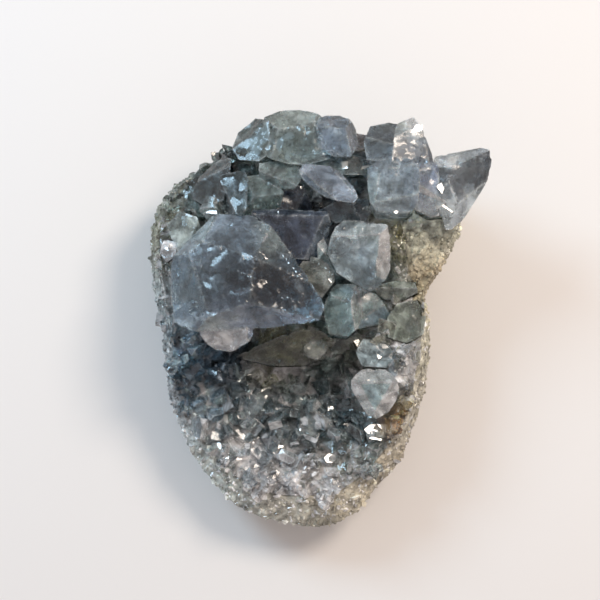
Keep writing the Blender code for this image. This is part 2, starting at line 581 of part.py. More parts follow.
def crust_bed():
    """The crust's bed: a flattened sphere laid on the rock's upper surface."""
    bm = bmesh.new()
    bmesh.ops.create_uvsphere(bm, u_segments=CRUST_SEGMENTS, v_segments=CRUST_RINGS, radius=1.0)
    for vert in bm.verts:
        angle = math.atan2(vert.co.y, vert.co.x)
        share = min(1.0, math.hypot(vert.co.x, vert.co.y))
        radius = share * (outline_radius(angle) - shoulder(angle) + CRUST_OVER_RIM)
        if MOUND_FROM < angle < MOUND_TO:
            along = (angle - MOUND_FROM) / (MOUND_TO - MOUND_FROM)
            radius *= 1 - MOUND_SHARE * math.sin(along * math.pi)
        x, y = at_angle(angle, radius)
        thick = CRUST_BED if vert.co.z > 0 else -CRUST_BELOW
        bulge = max(0.0, 1 - share * share) ** 0.25
        vert.co = (x, y, upper_surface(x, y) + thick * bulge)
    return bm


# Joining and cutting

def boolean(target, operand, operation, solver="EXACT"):
    modifier = target.modifiers.new(operation.lower(), "BOOLEAN")
    modifier.operation = operation
    modifier.solver = solver
    modifier.object = operand


def joined(bodies, name, where, grow=0.0):
    """One mesh object that holds several crystals, still crossing each other."""
    mesh = bpy.data.meshes.new(name)
    whole = bmesh.new()
    for planes in bodies:
        body = cut_block(planes, grow)
        body.to_mesh(mesh)
        body.free()
        whole.from_mesh(mesh)
    bpy.data.meshes.remove(mesh)
    return object_from(whole, name, where)


def cutter(made):
    made.hide_render = True
    made.display_type = "WIRE"
    return made


def shed_crumbs(bm):
    """Keeps the largest body of a mesh and drops the crumbs that a cut leaves."""
    bodies, seen = [], set()
    for start in bm.faces:
        if start in seen:
            continue
        body, stack = [], [start]
        seen.add(start)
        while stack:
            face = stack.pop()
            body.append(face)
            for edge in face.edges:
                for other in edge.link_faces:
                    if other not in seen:
                        seen.add(other)
                        stack.append(other)
        bodies.append(body)
    bodies.sort(key=lambda body: -sum(face.calc_area() for face in body))
    for body in bodies[1:]:
        bmesh.ops.delete(bm, geom=body, context="FACES")


def finished(made, name, parts, root):
    """The evaluated shape as a plain mesh with its own origin, material and node name."""
    graph = bpy.context.evaluated_depsgraph_get()
    bm = bmesh.new()
    bm.from_mesh(made.evaluated_get(graph).to_mesh())
    bmesh.ops.dissolve_degenerate(bm, dist=0.001 * MM, edges=bm.edges)
    bmesh.ops.dissolve_limit(bm, angle_limit=math.radians(0.4), verts=bm.verts, edges=bm.edges)
    bmesh.ops.triangulate(bm, faces=bm.faces)
    shed_crumbs(bm)
    bmesh.ops.recalc_face_normals(bm, faces=bm.faces)
    low = Vector([min(v.co[i] for v in bm.verts) for i in range(3)])
    high = Vector([max(v.co[i] for v in bm.verts) for i in range(3)])
    anchor = Vector(((low.x + high.x) / 2, (low.y + high.y) / 2, low.z))
    bmesh.ops.translate(bm, vec=-anchor, verts=bm.verts)
    mesh = bpy.data.meshes.new(name)
    bm.to_mesh(mesh)
    bm.free()
    node = bpy.data.objects.new(name, mesh)
    node.location = anchor
    node.parent = root
    parts.objects.link(node)
    mesh.materials.append(material(name, COLOURS[name]))
    return node


def stand_on_origin(root, nodes):
    """Moves the whole so that the origin lies under the middle of its box."""
    bpy.context.view_layer.update()
    points = np.array([node.matrix_world @ vert.co for node in nodes for vert in node.data.vertices])
    middle = (points.min(axis=0) + points.max(axis=0)) / 2
    root.location = (-middle[0], -middle[1], 0)


def clear_scene():
    for old in list(bpy.data.objects):
        bpy.data.objects.remove(old, do_unlink=True)


def main():
    clear_scene()
    parts = collection("celestite_geode")
    cutters = collection("cutters")
    root = bpy.data.objects.new("geode_origin", None)
    parts.objects.link(root)

    sockets = []
    pending = []
    for name, make in LARGE_CRYSTALS:
        bodies = make()
        raw = cutter(joined(bodies[:1], name + "_raw", cutters))
        for number, extra in enumerate(bodies[1:]):
            boolean(raw, cutter(joined([extra], f"{name}_raw_{number + 1}", cutters)), "UNION")
        for socket in sockets:
            boolean(raw, socket, "DIFFERENCE")
        grown = cutter(joined(bodies[:1], name + "_socket", cutters, grow=GAP))
        for number, extra in enumerate(bodies[1:]):
            boolean(grown, cutter(joined([extra], f"{name}_socket_{number + 1}", cutters, grow=GAP)),
                    "UNION")
        sockets.append(grown)
        pending.append((raw, name))

    rock = rock_body(0.0)
    flatten_base(rock)
    rock = cutter(object_from(rock, "host_rock_raw", cutters))
    for socket in sockets:
        boolean(rock, socket, "DIFFERENCE", "MANIFOLD")
    pending.append((rock, "host_rock"))

    crust = cutter(object_from(crust_bed(), "crystal_crust_raw", cutters))
    strewn = collection("small_crystals")
    for number, planes in enumerate(small_crystals()):
        boolean(crust, cutter(joined([planes], f"small_{number}", strewn)), "UNION", "MANIFOLD")
    boolean(crust, cutter(object_from(rock_body(GAP), "rock_cutter", cutters)), "DIFFERENCE",
            "MANIFOLD")
    for socket in sockets:
        boolean(crust, socket, "DIFFERENCE", "MANIFOLD")
    pending.append((crust, "crystal_crust"))

    nodes = [finished(raw, name, parts, root) for raw, name in pending]
    stand_on_origin(root, nodes)


main()
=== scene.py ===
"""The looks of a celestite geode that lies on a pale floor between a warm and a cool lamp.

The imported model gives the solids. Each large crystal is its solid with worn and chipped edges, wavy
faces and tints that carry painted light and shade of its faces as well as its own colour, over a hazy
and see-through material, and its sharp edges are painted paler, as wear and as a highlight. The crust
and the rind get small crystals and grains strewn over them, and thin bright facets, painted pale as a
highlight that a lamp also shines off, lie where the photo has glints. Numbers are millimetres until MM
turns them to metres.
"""
import itertools
import math
import random

import bmesh
import bpy
import numpy as np
from mathutils import Matrix, Vector, bvhtree, kdtree


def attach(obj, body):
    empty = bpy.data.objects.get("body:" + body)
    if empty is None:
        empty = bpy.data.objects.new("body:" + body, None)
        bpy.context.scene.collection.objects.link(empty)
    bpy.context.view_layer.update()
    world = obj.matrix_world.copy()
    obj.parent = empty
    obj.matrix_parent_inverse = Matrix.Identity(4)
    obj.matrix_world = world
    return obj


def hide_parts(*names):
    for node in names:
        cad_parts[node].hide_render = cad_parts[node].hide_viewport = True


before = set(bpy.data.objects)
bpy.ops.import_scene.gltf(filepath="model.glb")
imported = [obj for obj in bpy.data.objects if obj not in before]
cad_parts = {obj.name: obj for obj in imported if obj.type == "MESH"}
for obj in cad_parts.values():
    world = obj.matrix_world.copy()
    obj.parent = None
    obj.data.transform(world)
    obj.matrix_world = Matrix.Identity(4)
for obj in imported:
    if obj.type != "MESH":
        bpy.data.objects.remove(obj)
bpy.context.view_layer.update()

MM = 0.001

# The camera: how far it leans back from straight down, its lens, and what it looks at.
CAMERA_TILT = 8.0
CAMERA_LENS = 110.0
CAMERA_AWAY = 495.0
CAMERA_AIM = (-4.86, 4.95, 25.7)

# Lamps: azimuth and elevation in degrees, distance and width in mm, watts, colour.
LAMPS = {
    "warm_lamp": (38, 52, 620, 230, 2.25, (1.0, 0.87, 0.75)),
    "cool_lamp": (140, 38, 620, 250, 1.95, (0.55, 0.8, 1.0)),
}
FILL = (1.0, 0.9, 0.89)     # the room's colour
ROOM_LOW = 0.74             # the room's strength at the horizon
ROOM_HIGH = 0.42            # and overhead
FLOOR = (0.80, 0.785, 0.765)
FLOOR_HALF = 3.0            # metres


def linear(r, g, b):
    """A display colour from 0 to 255 as a linear one."""
    return tuple(((c / 255 + 0.055) / 1.055) ** 2.4 if c > 10 else c / 255 / 12.92 for c in (r, g, b))


# Colours laid over the surfaces: x, y, reach and display colour. Where several meet, the nearest wins.
CRUST_TINTS = [
    (-35, -8, 5, (96, 112, 124)), (-33, -22, 7, (88, 105, 117)), (-24, -14, 6, (60, 72, 82)),
    (-16, -24, 8, (98, 108, 114)), (-4, -18, 8, (118, 132, 132)), (6, -24, 8, (98, 108, 112)),
    (-9, -8, 4, (150, 138, 96)), (-14, -15, 3, (150, 140, 104)), (12, -10, 4, (112, 112, 96)),
    (22, -14, 5, (176, 180, 168)), (24, 0, 6, (160, 162, 148)), (22, -24, 3, (138, 112, 74)),
    (20, -29, 2.5, (130, 96, 60)), (-10, -34, 6, (112, 116, 116)), (3, -34, 6, (108, 118, 122)),
    (14, -38, 6, (132, 140, 138)), (-27, -32, 6, (140, 150, 154)), (-13, -44, 7, (206, 218, 226)),
    (0, -46, 6, (222, 222, 200)), (-22, -40, 6, (170, 182, 182)), (-38, 8, 6, (140, 148, 148)),
    (-40, 20, 5, (132, 134, 118)), (-30, 34, 8, (92, 100, 98)), (0, 30, 8, (104, 112, 116)),
    (14, 12, 8, (96, 106, 108)), (12, -18, 4, (104, 114, 114)), (22, 22, 6, (150, 146, 120)),
]
ROCK_TINTS = [
    (-44, 22, 7, (118, 116, 98)), (-43, 5, 9, (124, 130, 130)), (-38, -20, 10, (128, 132, 134)),
    (-28, -40, 8, (150, 154, 148)), (-12, -50, 8, (152, 152, 144)), (4, -52, 8, (156, 152, 138)),
    (18, -42, 8, (142, 136, 122)), (28, -26, 8, (158, 154, 142)), (30, -6, 8, (166, 164, 150)),
    (30, 6, 5, (146, 138, 112)), (31, 13, 4, (146, 130, 104)), (33, 22, 6, (168, 167, 152)),
    (26, 24, 5, (184, 186, 170)), (20, 48, 8, (126, 124, 108)), (-8, 52, 10, (116, 120, 112)),
    (-30, 44, 8, (88, 94, 92)), (-42, 36, 8, (116, 120, 112)), (0, 0, 20, (84, 88, 84)),
]


def camera_axes():
    """The camera's place, and the directions up its picture and back towards it, in mm."""
    tilt = math.radians(CAMERA_TILT)
    back = np.array((0, -math.sin(tilt), math.cos(tilt)))
    return np.array(CAMERA_AIM) + back * CAMERA_AWAY, np.array((0, math.cos(tilt), math.sin(tilt))), back


def flat_places(places):
    """Where places come to lie on the measured plane, which faces the camera through a point 25 mm up."""
    eye, up, back = camera_axes()
    ray = places - eye
    away = (eye - (0, 0, 25)) @ back
    met = eye + ray * (away / -(ray @ back))[:, None] - (0, 0, 25)
    return np.stack([met[:, 0], met @ up], axis=1)


def blended(spots, places):
    """The colours of the spots around places, nearer spots counting more."""
    centres = np.array([spot[:2] for spot in spots], dtype=float)
    reach = np.array([spot[2] for spot in spots], dtype=float)
    colours = np.array([linear(*spot[3]) for spot in spots])
    apart = ((flat_places(places)[:, None] - centres[None]) ** 2).sum(axis=2)
    near = np.exp(-apart / (2 * reach ** 2)) + 1e-9
    return near @ colours / near.sum(axis=1, keepdims=True)


CLEAR_GAIN = 4.0              # how much lighter a clear material is painted than it looks
COOLER = (0.95, 1.03, 1.07)   # shifts the large crystals towards blue, against the warm room
FROST_AND_HIGHLIGHT = 3.2 * np.array(linear(176, 182, 184))   # the tint of chipped, cloudy and worn places, and of the painted highlight along sharp edges
SHARP = 0.2                   # the angle in radians from which an edge of a solid counts as sharp
ROOT = 5                      # how far up from its root a large crystal is left unworn

GRADIENTS = np.random.default_rng(5).normal(size=(256, 3))
GRADIENTS /= np.linalg.norm(GRADIENTS, axis=1, keepdims=True)
SHUFFLE = np.random.default_rng(6).permutation(256)


def gradient_noise(places, seed):
    """Smooth noise at places, from about -1 to 1."""
    base = np.floor(places).astype(np.int64)
    part = places - base
    fade = part ** 3 * (part * (part * 6 - 15) + 10)
    total = np.zeros(len(places))
    for corner in itertools.product((0, 1), repeat=3):
        cell = base + corner
        key = SHUFFLE[(cell[:, 0] + seed) & 255]
        key = SHUFFLE[(key + cell[:, 1]) & 255]
        key = SHUFFLE[(key + cell[:, 2]) & 255]
        weight = np.prod(np.where(np.array(corner) == 1, fade, 1 - fade), axis=1)
        total += weight * ((part - corner) * GRADIENTS[key]).sum(axis=1)
    return 1.6 * total


def clouds(places, size, seed=0, octaves=3):
    """Fractal noise at places in mm, from about -1 to 1, whose largest features are size across."""
    total = np.zeros(len(places))
    for octave in range(octaves):
        total += gradient_noise(places / size * 2 ** octave, seed * 17 + octave * 5) / 2 ** octave
    return total / 1.5


# Materials. Scales are in features per metre.

WISPS = 150
FLECKS = 800
FLECK_DEPTH = 0.0004           # metres
CRACKS = 210
CRACK_WIDTH = 0.04             # as a share of a cell
CRACK_COLOUR = (0.85, 0.9, 0.9, 1)
CRACK_CLOUD = 0.4              # how much less clear a crack is
MILK_CLOUD = 0.5               # how much less clear a milky place is


def node_of(tree, kind, **values):
    """A shader node with its sockets set by name."""
    made = tree.nodes.new(kind)
    for name, value in values.items():
        made.inputs[name.replace("_", " ")].default_value = value
    return made


def linked(tree, kind, *sources, **settings):
    """A node with its settings, whose first inputs are linked to sources or set to numbers."""
    made = tree.nodes.new(kind)
    for name, value in settings.items():
        setattr(made, name, value)
    for source, socket in zip(sources, made.inputs):
        if isinstance(source, bpy.types.NodeSocket):
            tree.links.new(source, socket)
        else:
            socket.default_value = source
    return made


def maths(tree, operation, *sources):
    return linked(tree, "ShaderNodeMath", *sources, operation=operation).outputs["Value"]


def vectors(tree, operation, *sources):
    return linked(tree, "ShaderNodeVectorMath", *sources, operation=operation)


def noise_node(tree, where, scale, detail, distortion=0.0):
    made = node_of(tree, "ShaderNodeTexNoise", Scale=scale, Detail=detail, Roughness=0.62,
                   Distortion=distortion)
    tree.links.new(where, made.inputs["Vector"])
    return made.outputs["Fac"]


def ranged(tree, source, low, high, to_low, to_high):
    made = node_of(tree, "ShaderNodeMapRange", From_Min=low, From_Max=high, To_Min=to_low, To_Max=to_high)
    tree.links.new(source, made.inputs["Value"])
    return made.outputs["Result"]


def bumped(tree, source, distance, strength, under=None):
    made = node_of(tree, "ShaderNodeBump", Distance=distance, Strength=strength)
    tree.links.new(source, made.inputs["Height"])
    if under is not None:
        tree.links.new(under, made.inputs["Normal"])
    return made.outputs["Normal"]


def leaning_cells(tree, where, scale):
    """A height that rises at a slope of its own in each cell, for many small flats that lean apart."""
    cells = node_of(tree, "ShaderNodeTexVoronoi", Scale=scale)
    tree.links.new(where, cells.inputs["Vector"])
    scaled = vectors(tree, "SCALE", where)
    scaled.inputs["Scale"].default_value = scale
    own = vectors(tree, "SUBTRACT", scaled.outputs["Vector"], cells.outputs["Position"]).outputs["Vector"]
    lean = vectors(tree, "SUBTRACT", cells.outputs["Color"], (0.5, 0.5, 0.5)).outputs["Vector"]
    return vectors(tree, "DOT_PRODUCT", own, lean).outputs["Value"]


def crack_lines(tree, where, scale, width):
    """1 on thin wandering lines, 0 elsewhere, in patches."""
    stray = node_of(tree, "ShaderNodeTexNoise", Scale=scale * 1.5, Detail=3)
    tree.links.new(where, stray.inputs["Vector"])
    wander = vectors(tree, "SCALE", stray.outputs["Color"])
    wander.inputs["Scale"].default_value = 0.6 / scale
    moved = vectors(tree, "ADD", where, wander.outputs["Vector"]).outputs["Vector"]
    cells = node_of(tree, "ShaderNodeTexVoronoi", Scale=scale)
    cells.feature = "DISTANCE_TO_EDGE"
    tree.links.new(moved, cells.inputs["Vector"])
    line = ranged(tree, cells.outputs["Distance"], 0, width, 1, 0)
    patches = ranged(tree, noise_node(tree, where, scale * 1.1, 2), 0.54, 0.66, 0, 1)
    return maths(tree, "MULTIPLY", line, patches)


def mineral(name, clear, hazed, ior, rough, frosted, contrast, fine, cell=0.0, lean=0.0, cracks=0.0):
    """A material with its tint, milk and frost from the mesh, and its wisps, cracks and flats from noise."""
    made = bpy.data.materials.new(name)
    made.use_nodes = True
    tree = made.node_tree
    shader = tree.nodes["Principled BSDF"]
    shader.inputs["IOR"].default_value = ior

    place = tree.nodes.new("ShaderNodeTexCoord").outputs["Object"]
    wisps = ranged(tree, noise_node(tree, place, WISPS, 8, 1.6), 0.36, 0.64, 0, 1)
    flecks = noise_node(tree, place, FLECKS, 5)

    tint = tree.nodes.new("ShaderNodeAttribute")
    tint.attribute_name = "tint"
    shade = ranged(tree, wisps, 0, 1, 1 - contrast, 1 + contrast)
    shade = maths(tree, "MULTIPLY", shade, ranged(tree, flecks, 0.35, 0.65, 0.8, 1.2))
    scaled = vectors(tree, "SCALE", tint.outputs["Color"])
    tree.links.new(shade, scaled.inputs["Scale"])
    colour = scaled.outputs["Vector"]
    see_through = ranged(tree, wisps, 0.2, 1, clear, hazed)
    if cracks:
        line = crack_lines(tree, place, CRACKS, CRACK_WIDTH)
        whiter = maths(tree, "MULTIPLY", line, cracks)
        mixed = linked(tree, "ShaderNodeMix", data_type="RGBA")
        tree.links.new(whiter, mixed.inputs["Factor"])
        tree.links.new(colour, mixed.inputs[6])
        mixed.inputs[7].default_value = CRACK_COLOUR
        colour = mixed.outputs[2]
        see_through = maths(tree, "SUBTRACT", see_through, maths(tree, "MULTIPLY", whiter, CRACK_CLOUD))
    milk = tree.nodes.new("ShaderNodeAttribute")
    milk.attribute_name = "milk"
    clouded = maths(tree, "MULTIPLY", milk.outputs["Fac"], MILK_CLOUD)
    see_through = maths(tree, "SUBTRACT", see_through, clouded)
    tree.links.new(colour, shader.inputs["Base Color"])
    tree.links.new(maths(tree, "MAXIMUM", see_through, 0.0), shader.inputs["Transmission Weight"])

    frost = tree.nodes.new("ShaderNodeAttribute")
    frost.attribute_name = "frost"
    patchy = maths(tree, "MULTIPLY", frost.outputs["Fac"], ranged(tree, flecks, 0.42, 0.6, 0, 1))
    tree.links.new(ranged(tree, patchy, 0, 1, rough, frosted), shader.inputs["Roughness"])

    normal = bumped(tree, flecks, FLECK_DEPTH, fine)
    if lean:
        flats = leaning_cells(tree, place, 1000 / cell)
        normal = bumped(tree, flats, MM * cell * lean, 1.0, under=normal)
    tree.links.new(normal, shader.inputs["Normal"])
    return made


# How clear each is outside its wisps and in them, its IOR, its roughness where polished and where frosted,
# its wisps' contrast, its flecks' bump, and the size in mm and the lean of its flats, and its cracks' white.
MATERIALS = {
    "deep_blue": mineral("deep_blue_celestite", 0.93, 0.8, 1.62, 0.16, 0.5, 0.26, 0.08, 2.6, 0.12, 0.35),
    "dark": mineral("dark_celestite", 0.9, 0.72, 1.62, 0.16, 0.5, 0.28, 0.08, 2.2, 0.2, 0.35),
    "hazy": mineral("hazy_celestite", 0.9, 0.7, 1.62, 0.16, 0.5, 0.24, 0.08, 2.4, 0.18, 0.35),
    "pale": mineral("pale_celestite", 0.82, 0.5, 1.62, 0.16, 0.5, 0.4, 0.15, 1.8, 0.4, 0.5),
    "crust": mineral("crust_celestite", 0.95, 0.8, 1.62, 0.06, 0.4, 0.5, 0.1, 1.4, 0.4),
    "small": mineral("small_celestite", 0.95, 0.78, 1.62, 0.04, 0.4, 0.4, 0.08),
    "rim": mineral("rim_celestite", 0.6, 0.25, 1.62, 0.06, 0.5, 0.3, 0.12),
    "grain": mineral("rind_grain", 0.45, 0.15, 1.6, 0.2, 0.7, 0.35, 0.2),
    "rind": mineral("rind_stone", 0.0, 0.0, 1.5, 0.7, 0.9, 0.4, 0.9),
    "mirror": mineral("bright_facet", 0.3, 0.2, 2.2, 0.03, 0.3, 0.1, 0.02),
}


# Solids of the frame as arrays of points and triangles, refined and worn

def solid(node):
    """A node's solid in mm: points, triangles, each triangle's facet, and places on its sharp edges."""
    bm = bmesh.new()
    bm.from_mesh(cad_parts[node].data)
    bmesh.ops.scale(bm, vec=(1 / MM, 1 / MM, 1 / MM), verts=bm.verts)
    bmesh.ops.remove_doubles(bm, verts=bm.verts, dist=0.002)
    bmesh.ops.dissolve_limit(bm, angle_limit=math.radians(1), verts=bm.verts, edges=bm.edges)
    facet = bm.faces.layers.int.new("facet")
    for number, face in enumerate(bm.faces):
        face[facet] = number
    bmesh.ops.triangulate(bm, faces=bm.faces)
    bm.normal_update()
    ridge = []
    for edge in bm.edges:
        if len(edge.link_faces) == 2 and edge.calc_face_angle(0) > SHARP:
            a, b = edge.verts[0].co, edge.verts[1].co
            outward = (edge.link_faces[0].normal + edge.link_faces[1].normal).normalized()
            steps = max(1, int((b - a).length / 0.4))
            ridge += [(a.lerp(b, i / steps), outward.copy()) for i in range(steps + 1)]
    bm.verts.index_update()
    points = np.array([vert.co[:] for vert in bm.verts])
    faces = np.array([[vert.index for vert in face.verts] for face in bm.faces])
    facets = np.array([face[facet] for face in bm.faces])
    bm.free()
    return points, faces, facets, ridge


def tree_of(points):
    tree = kdtree.KDTree(len(points))
    for i, point in enumerate(points):
        tree.insert(point, i)
    tree.balance()
    return tree


def distances(tree, points):
    return np.array([tree.find(point)[2] for point in points])


def edges_of(faces):
    """The mesh's edges, and each triangle's three edges among them."""
    pairs = np.sort(faces[:, [[0, 1], [1, 2], [2, 0]]], axis=2).reshape(-1, 2)
    edges, index = np.unique(pairs, axis=0, return_inverse=True)
    return edges, index.reshape(-1, 3)


def halved(points, faces, facets, limit):
    """Splits the edges that are longer than limit allows at their middle, once, without gaps."""
    edges, sides = edges_of(faces)
    ends = points[edges]
    middles = ends.mean(axis=1)
    long = np.linalg.norm(ends[:, 0] - ends[:, 1], axis=1) > limit(middles, ends)
    new = np.full(len(edges), -1)
    new[long] = len(points) + np.arange(long.sum())
    points = np.concatenate([points, middles[long]])
    mids = new[sides]
    count = (mids >= 0).sum(axis=1)
    made, kinds = [], []

    def keep(chosen, *corners):
        made.append(np.stack(corners, axis=1)[chosen])
        kinds.append(facets[chosen])

    keep(count == 0, *faces.T)
    for turn in range(3):
        a, b, c = np.roll(faces, -turn, axis=1).T
        ab, bc, ca = np.roll(mids, -turn, axis=1).T
        one = (count == 1) & (ab >= 0)
        keep(one, a, ab, c)
        keep(one, ab, b, c)
        two = (count == 2) & (ca < 0)
        keep(two, ab, b, bc)
        across = points[ab[two]] - points[c[two]], points[a[two]] - points[bc[two]]
        short = np.zeros(len(faces), dtype=bool)
        short[np.flatnonzero(two)] = (across[0] ** 2).sum(1) < (across[1] ** 2).sum(1)
        keep(two & short, a, ab, c)
        keep(two & short, ab, bc, c)
        keep(two & ~short, a, ab, bc)
        keep(two & ~short, a, bc, c)
    a, b, c = faces.T
    ab, bc, ca = mids.T
    for corners in ((a, ab, ca), (ab, b, bc), (ca, bc, c), (ab, bc, ca)):
        keep(count == 3, *corners)
    return points, np.concatenate(made), np.concatenate(kinds), bool(long.any())


def refined(points, faces, facets, longest, near=None, near_longest=0.0, reach=0.0, above=-1.0):
    """Halves edges above a height until none is longer than longest, or near_longest by sharp edges."""
    def limit(middles, ends):
        length = np.linalg.norm(ends[:, 0] - ends[:, 1], axis=1)
        allowed = np.full(len(middles), longest)
        if near:
            asked = np.flatnonzero(length > near_longest)
            allowed[asked[distances(near, middles[asked]) < reach]] = near_longest
        allowed[ends[:, :, 2].max(axis=1) < above] = 1e9
        return allowed

    for _ in range(12):
        points, faces, facets, more = halved(points, faces, facets, limit)
        if not more:
            break
    return points, faces, facets


def by_facet(points, faces, facets, values):
    """A facet's own value for each point, and on an edge the mean of those that meet there."""
    total, count = np.zeros((len(points), values.shape[1])), np.zeros(len(points))
    for i in range(3):
        np.add.at(total, faces[:, i], values[facets])
        np.add.at(count, faces[:, i], 1)
    return total / np.maximum(count, 1)[:, None]


def facet_tones(points, faces, facets, spread, seed):
    """A random tone for each facet."""
    tones = np.exp(np.random.default_rng(seed).normal(0, spread, facets.max() + 1))
    return by_facet(points, faces, facets, tones[:, None])


def facet_middles(points, faces, facets):
    """The middle of each facet."""
    corners = points[faces]
    across = np.cross(corners[:, 1] - corners[:, 0], corners[:, 2] - corners[:, 0])
    area = np.linalg.norm(across, axis=1) + 1e-9
    total, weight = np.zeros((facets.max() + 1, 3)), np.zeros(facets.max() + 1)
    np.add.at(total, facets, corners.mean(axis=1) * area[:, None])
    np.add.at(weight, facets, area)
    return total / np.maximum(weight, 1e-9)[:, None]


def normals_of(points, faces):
    corners = points[faces]
    across = np.cross(corners[:, 1] - corners[:, 0], corners[:, 2] - corners[:, 0])
    total = np.zeros_like(points)
    for i in range(3):
        np.add.at(total, faces[:, i], across)
    return total / np.maximum(np.linalg.norm(total, axis=1, keepdims=True), 1e-12)


def bite(points, spots, rng, count, sizes, tilt, depths):
    """Flattens small places: points close to a spot are pushed down onto a plane that leans by tilt."""
    tree = tree_of(points)
    for _ in range(count):
        spot, outward = rng.choice(spots)
        size = rng.uniform(*sizes)
        normal = (outward + Vector([rng.gauss(0, tilt) for _ in range(3)])).normalized()
        depth = size * rng.uniform(*depths)
        for _, index, away in tree.find_range(spot, size):
            excess = float((Vector(points[index]) - spot).dot(normal)) + depth
            if excess > 0:
                points[index] -= np.array(normal) * excess * min(1.0, 3 * (1 - away / size))


def smoothed(points, faces, share):
    """Moves each point towards the mean of its neighbours by its own share."""
    edges, _ = edges_of(faces)
    total = np.zeros_like(points)
    count = np.zeros(len(points))
    for a, b in ((0, 1), (1, 0)):
        np.add.at(total, edges[:, a], points[edges[:, b]])
        np.add.at(count, edges[:, a], 1)
    return points + share[:, None] * (total / count[:, None] - points)


def worn(node, seed, look):
    """A node's solid with chips and wavy faces, and each point's way to a sharp edge."""
    points, faces, facets, ridge = solid(node)
    rng = random.Random(seed)
    near = tree_of([spot for spot, _ in ridge])
    above = points[:, 2].min() + ROOT
    points, faces, facets = refined(points, faces, facets, 1.1, near, 0.45, 0.6, above)
    away = distances(near, points)
    normals = normals_of(points, faces)
    high = np.flatnonzero((points[:, 2] > above) & (away > 1.0) & (normals[:, 2] > 0.2))
    chosen = rng.sample(list(high), min(400, len(high)))
    open_faces = [(Vector(points[i]), Vector(normals[i])) for i in chosen]
    standing = [spot for spot in ridge if spot[0].z > above]
    size = len(high) / 1000
    bite(points, open_faces, rng, int(20 * size * look.get("facets", 1)), (1.6, 4.5), 0.10, (0.005, 0.03))
    bite(points, standing, rng, int(70 * size * look.get("chips", 1)), (0.4, 1.6), 0.35, (0.12, 0.35))
    points = smoothed(points, faces, np.where(away < 0.3, 0.3, 0.0))
    waves = 0.06 * (clouds(points, 6, seed) - 0.2) + 0.03 * (clouds(points, 2.2, seed + 1) - 0.2)
    points += normals_of(points, faces) * waves[:, None]
    return points, faces, facets, away


def mesh_object(name, points, faces, material, tints, frosts, smooth_below=14):
    """Arrays in mm as an object in metres that rides on the part. A tint past white makes it milky."""
    mesh = bpy.data.meshes.new(name)
    mesh.from_pydata(points * MM, [], faces)
    layer = mesh.color_attributes.new("tint", "FLOAT_COLOR", "POINT")
    colours = np.concatenate([np.clip(tints, 0, 0.97), np.ones((len(tints), 1))], axis=1)
    layer.data.foreach_set("color", colours.ravel())
    milk = mesh.attributes.new("milk", "FLOAT", "POINT")
    milk.data.foreach_set("value", np.clip((tints.mean(axis=1) - 0.9) / 2.6, 0, 1).astype(float))
    frost = mesh.attributes.new("frost", "FLOAT", "POINT")
    frost.data.foreach_set("value", np.clip(frosts, 0, 2).astype(float))
    mesh.shade_smooth()
    mesh.set_sharp_from_angle(angle=math.radians(smooth_below))
    mesh.materials.append(material)
    made = bpy.data.objects.new(name, mesh)
    bpy.context.scene.collection.objects.link(made)
    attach(made, "root")
    return made
